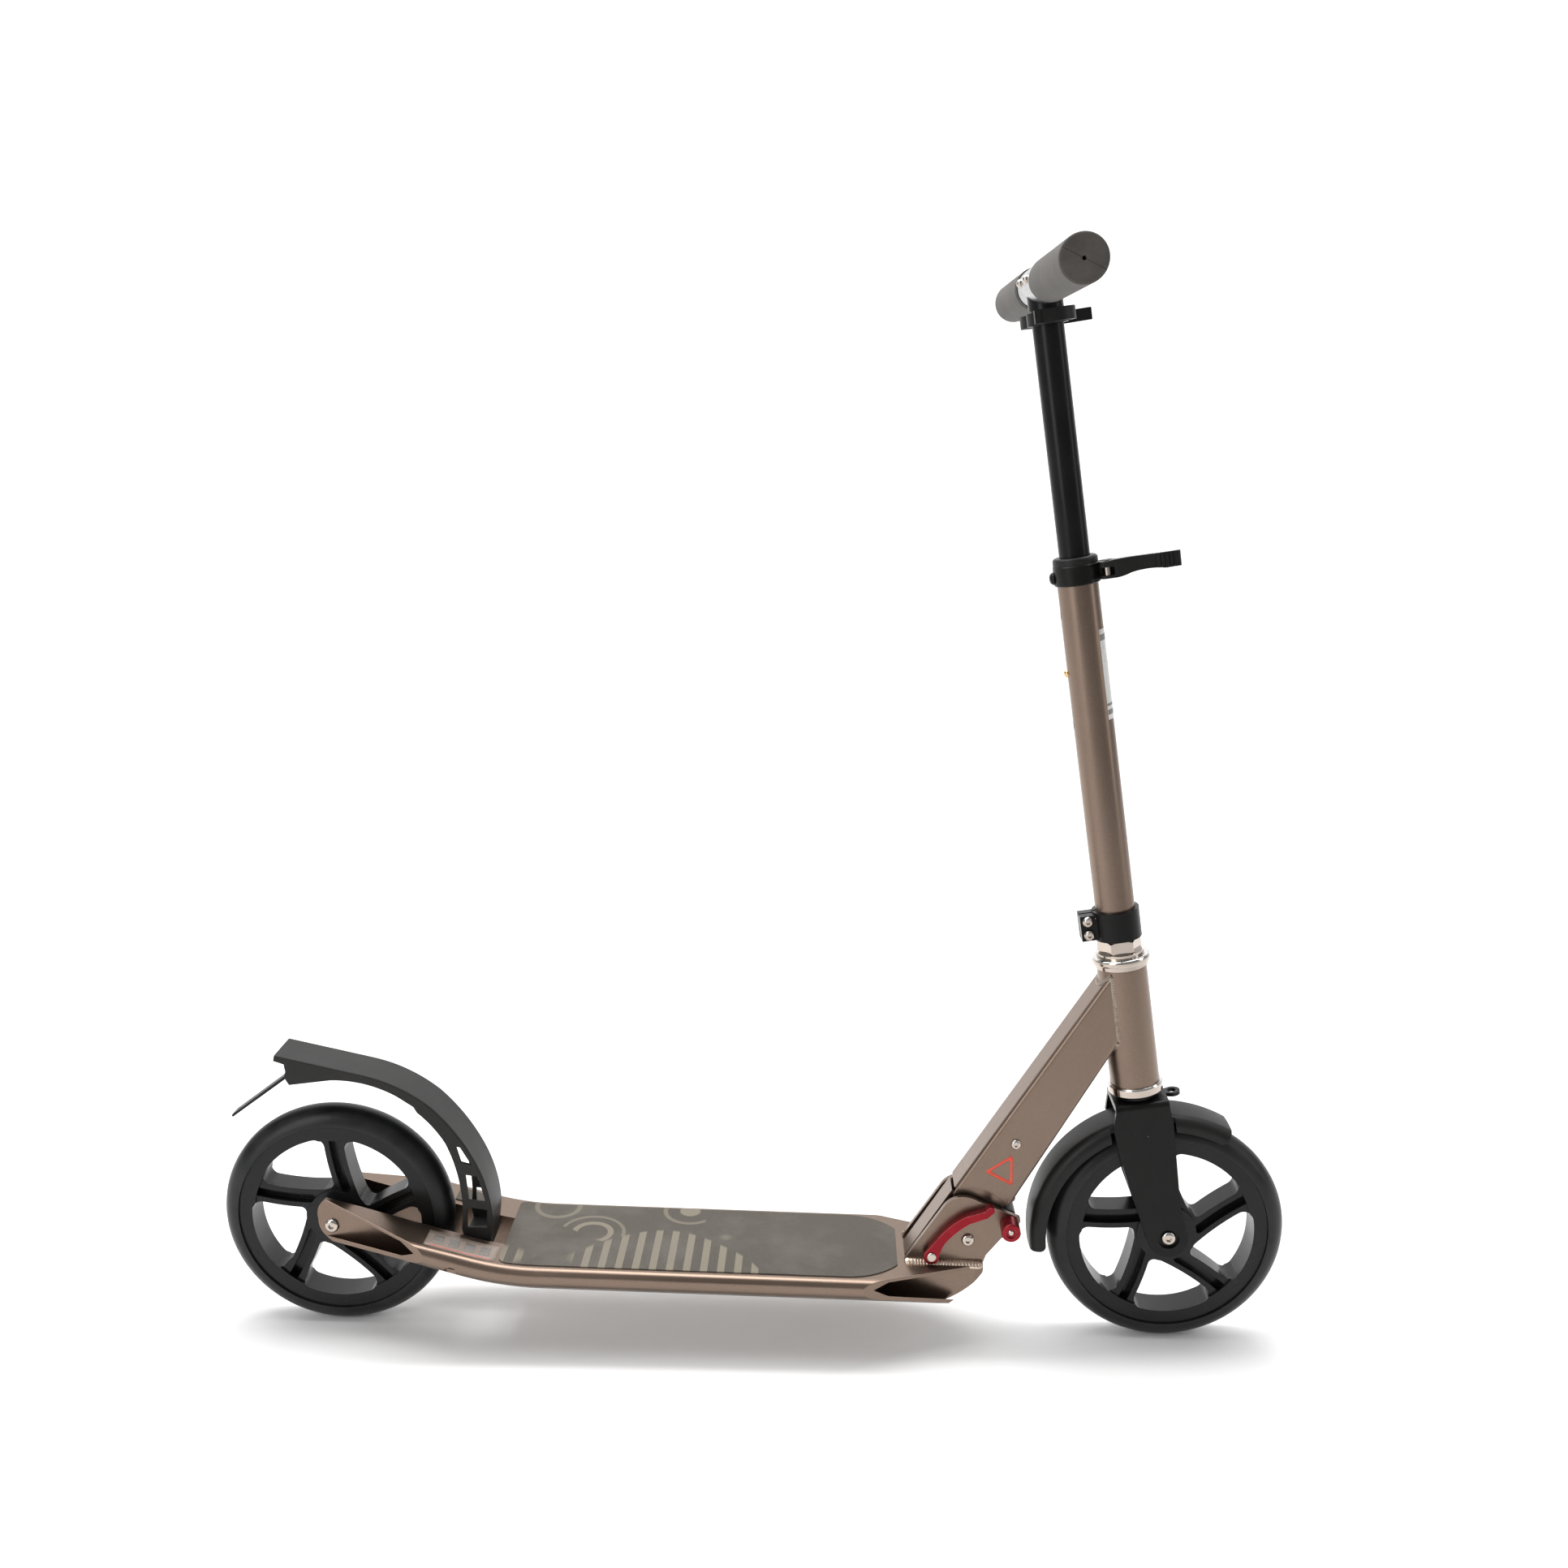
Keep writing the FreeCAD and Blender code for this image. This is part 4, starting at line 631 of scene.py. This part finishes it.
def film_prism(name, surface, rows, columns, normal, body, material):
    """Thin film over a grid of points that already lie on a surface."""
    top = [p + normal(p) * FILM for p in surface]
    bottom = [p - normal(p) * FILM_SUNK for p in surface]
    count = len(surface)
    faces = grid_faces(rows, columns)
    faces += [tuple(i + count for i in reversed(quad)) for quad in faces]
    rim = list(range(columns))
    rim += [i * columns + columns - 1 for i in range(1, rows)]
    rim += [(rows - 1) * columns + j for j in range(columns - 2, -1, -1)]
    rim += [i * columns for i in range(rows - 2, 0, -1)]
    for a, b in zip(rim, rim[1:] + rim[:1]):
        faces.append((b, a, a + count, b + count))
    piece(name, top + bottom, faces, body, material)


def column_film(name, low, high, half, material, lift=0.0):
    """Film on the front of the column, between two levels and as far round as half says."""
    rows, columns = 9, 17
    reach = COLUMN_RADIUS + lift
    points = []
    for i in range(rows):
        s = low + (high - low) * i / (rows - 1)
        for j in range(columns):
            angle = half * (-1 + 2 * j / (columns - 1))
            points.append(steering_point(reach * math.cos(angle), reach * math.sin(angle), s))

    def outward(p):
        away = p - STEERING_FOOT
        rise = steering_direction(0, 0, 1)
        away -= rise * away.dot(rise)
        return away.normalized()

    film_prism(name, points, rows, columns, outward, "steering", material)


# How far a second film lies above the one under it.
LAYER = 0.1 * MM

column_film("column_label", 446 * MM, 518 * MM, math.radians(50), WHITE_INK)
for k, (low, high) in enumerate(((450, 454), (457, 459), (509, 514))):
    column_film("column_label_stripe_%d" % k, low * MM, high * MM, math.radians(49.5), GREY_INK, LAYER)


def outline_ring(corners, inner_share):
    """Corner points of a closed band: the outline, and the same outline shrunk about its middle."""
    middle = sum(corners, Vector()) / len(corners)
    return [middle + (corner - middle) * inner_share for corner in corners]


def rounded_corners(corners, radius, steps=5):
    """Outline with each corner turned into a quadratic curve."""
    smooth = []
    count = len(corners)
    for k, corner in enumerate(corners):
        before = (corners[k - 1] - corner).normalized() * radius
        after = (corners[(k + 1) % count] - corner).normalized() * radius
        for i in range(steps + 1):
            t = i / steps
            smooth.append(corner + before * (1 - t) ** 2 + after * t ** 2)
    return smooth


def flat_band(name, corners, share, across, body, material):
    """Band of film between an outline on a flat face and its shrunken copy."""
    outer = rounded_corners(corners, 3.2 * MM)
    inner = outline_ring(outer, share)
    count = len(outer)
    points = [p + across * FILM for p in outer + inner]
    points += [p - across * FILM_SUNK for p in outer + inner]
    faces = []
    for k in range(count):
        n = (k + 1) % count
        faces.append((k, n, count + n, count + k))
        faces.append((2 * count + n, 2 * count + k, 3 * count + k, 3 * count + n))
        faces.append((n, k, 2 * count + k, 2 * count + n))
        faces.append((count + k, count + n, 3 * count + n, 3 * count + k))
    piece(name, points, faces, body, material)


TRIANGLE_CORNERS = ((198.9, 155.9), (223, 143.2), (222.2, 171.6))
triangle = [Vector((x * MM, -NECK_HALF, z * MM)) for x, z in TRIANGLE_CORNERS]
flat_band("neck_triangle", triangle, 0.70, Vector((0, -1, 0)), "fold_frame", RED_INK)

deck_mesh = nodes["deck"].data
deck_tree = BVHTree.FromPolygons([v.co for v in deck_mesh.vertices],
                                 [p.vertices for p in deck_mesh.polygons])


def deck_film(name, x_low, x_high, y_low, y_high, material, lift=0.0):
    """Film laid on the top of the deck, following its bend."""
    rows, columns = 13, 5
    points = []
    for i in range(rows):
        for j in range(columns):
            x = x_low + (x_high - x_low) * i / (rows - 1)
            y = y_low + (y_high - y_low) * j / (columns - 1)
            hit = deck_tree.ray_cast(Vector((x, y, 0.2)), Vector((0, 0, -1)))[0]
            points.append(hit + Vector((0, 0, lift)))
    film_prism(name, points, rows, columns, lambda p: Vector((0, 0, 1)), "deck_frame",
               material)


deck_film("tail_plate_print", -0.270, -0.211, -0.0525, -0.0285, PALE_INK)
deck_film("tail_plate_line", -0.266, -0.215, -0.0505, -0.0498, RED_INK, LAYER)
for k, x in enumerate((-0.264, -0.251, -0.238, -0.225)):
    deck_film("tail_plate_bar_%d" % k, x, x + 0.008, -0.0455, -0.0345, GREY_INK, LAYER)


# ---------------------------------------------------------------- stage, light and camera

def studio_sweep():
    """Floor that curves up into a wall behind the object."""
    half, front, bend, radius, top = 12.0, -8.0, 2.2, 1.2, 8.0
    profile = [(front, 0.0), (bend, 0.0)]
    for k in range(1, 13):
        angle = math.pi / 2 * k / 12
        profile.append((bend + radius * math.sin(angle), radius * (1 - math.cos(angle))))
    profile.append((bend + radius, top))
    points = [(x, y, z) for y, z in profile for x in (-half, half)]
    faces = [tuple(reversed(face)) for face in grid_faces(len(profile), 2)]
    look = Look("studio_paper", roughness=0.9)
    paper = look.ramp(look.noise(3, 2), [(0.3, (0.88, 0.88, 0.88)), (0.7, (0.92, 0.92, 0.92))])
    mesh = bpy.data.meshes.new("studio_sweep")
    mesh.from_pydata(points, [], faces)
    for polygon in mesh.polygons:
        polygon.use_smooth = True
    mesh.materials.append(look.finish(paper))
    made = bpy.data.objects.new("studio_sweep", mesh)
    bpy.context.scene.collection.objects.link(made)


studio_sweep()

world = bpy.data.worlds.new("studio")
world.use_nodes = True
backdrop = world.node_tree.nodes["Background"]
backdrop.inputs["Color"].default_value = (1, 1, 1, 1)
backdrop.inputs["Strength"].default_value = 0.30
bpy.context.scene.world = world
bpy.context.scene.view_settings.view_transform = "Standard"


def soft_box(name, place, target, width, height, power):
    """Rectangular area light that looks at a target; power in watts."""
    lamp = bpy.data.lights.new(name, "AREA")
    lamp.shape = "RECTANGLE"
    lamp.size = width
    lamp.size_y = height
    lamp.energy = power
    made = bpy.data.objects.new(name, lamp)
    made.location = place
    made.rotation_euler = (Vector(target) - Vector(place)).to_track_quat("-Z", "Y").to_euler()
    bpy.context.scene.collection.objects.link(made)


MIDDLE = (0.0, 0.0, 0.4)
soft_box("top_light", (-0.2, 0.35, 2.4), MIDDLE, 2.6, 1.4, 52)
soft_box("left_light", (-1.7, -1.9, 1.2), MIDDLE, 1.1, 2.2, 25)
soft_box("right_light", (2.2, -0.5, 1.2), MIDDLE, 0.5, 2.0, 6)
soft_box("wall_light", (0.0, 0.6, 3.6), (0.0, 3.4, 1.6), 9.0, 1.0, 210)

CAMERA_PLACE = (0.0666, -1.2346, 0.7733)
CAMERA_YAW = -0.0307
CAMERA_PITCH = -0.2295
CAMERA_ROLL = 0.0035
LENS_MM = 36.1
SENSOR_MM = 36

lens = bpy.data.cameras.new("camera")
lens.lens = LENS_MM
lens.sensor_width = SENSOR_MM
camera = bpy.data.objects.new("camera", lens)
view = Matrix.Rotation(-CAMERA_YAW, 4, "Z") @ Matrix.Rotation(math.pi / 2 + CAMERA_PITCH, 4, "X")
camera.matrix_world = Matrix.Translation(CAMERA_PLACE) @ view @ Matrix.Rotation(CAMERA_ROLL, 4, "Z")
bpy.context.scene.collection.objects.link(camera)
bpy.context.scene.camera = camera
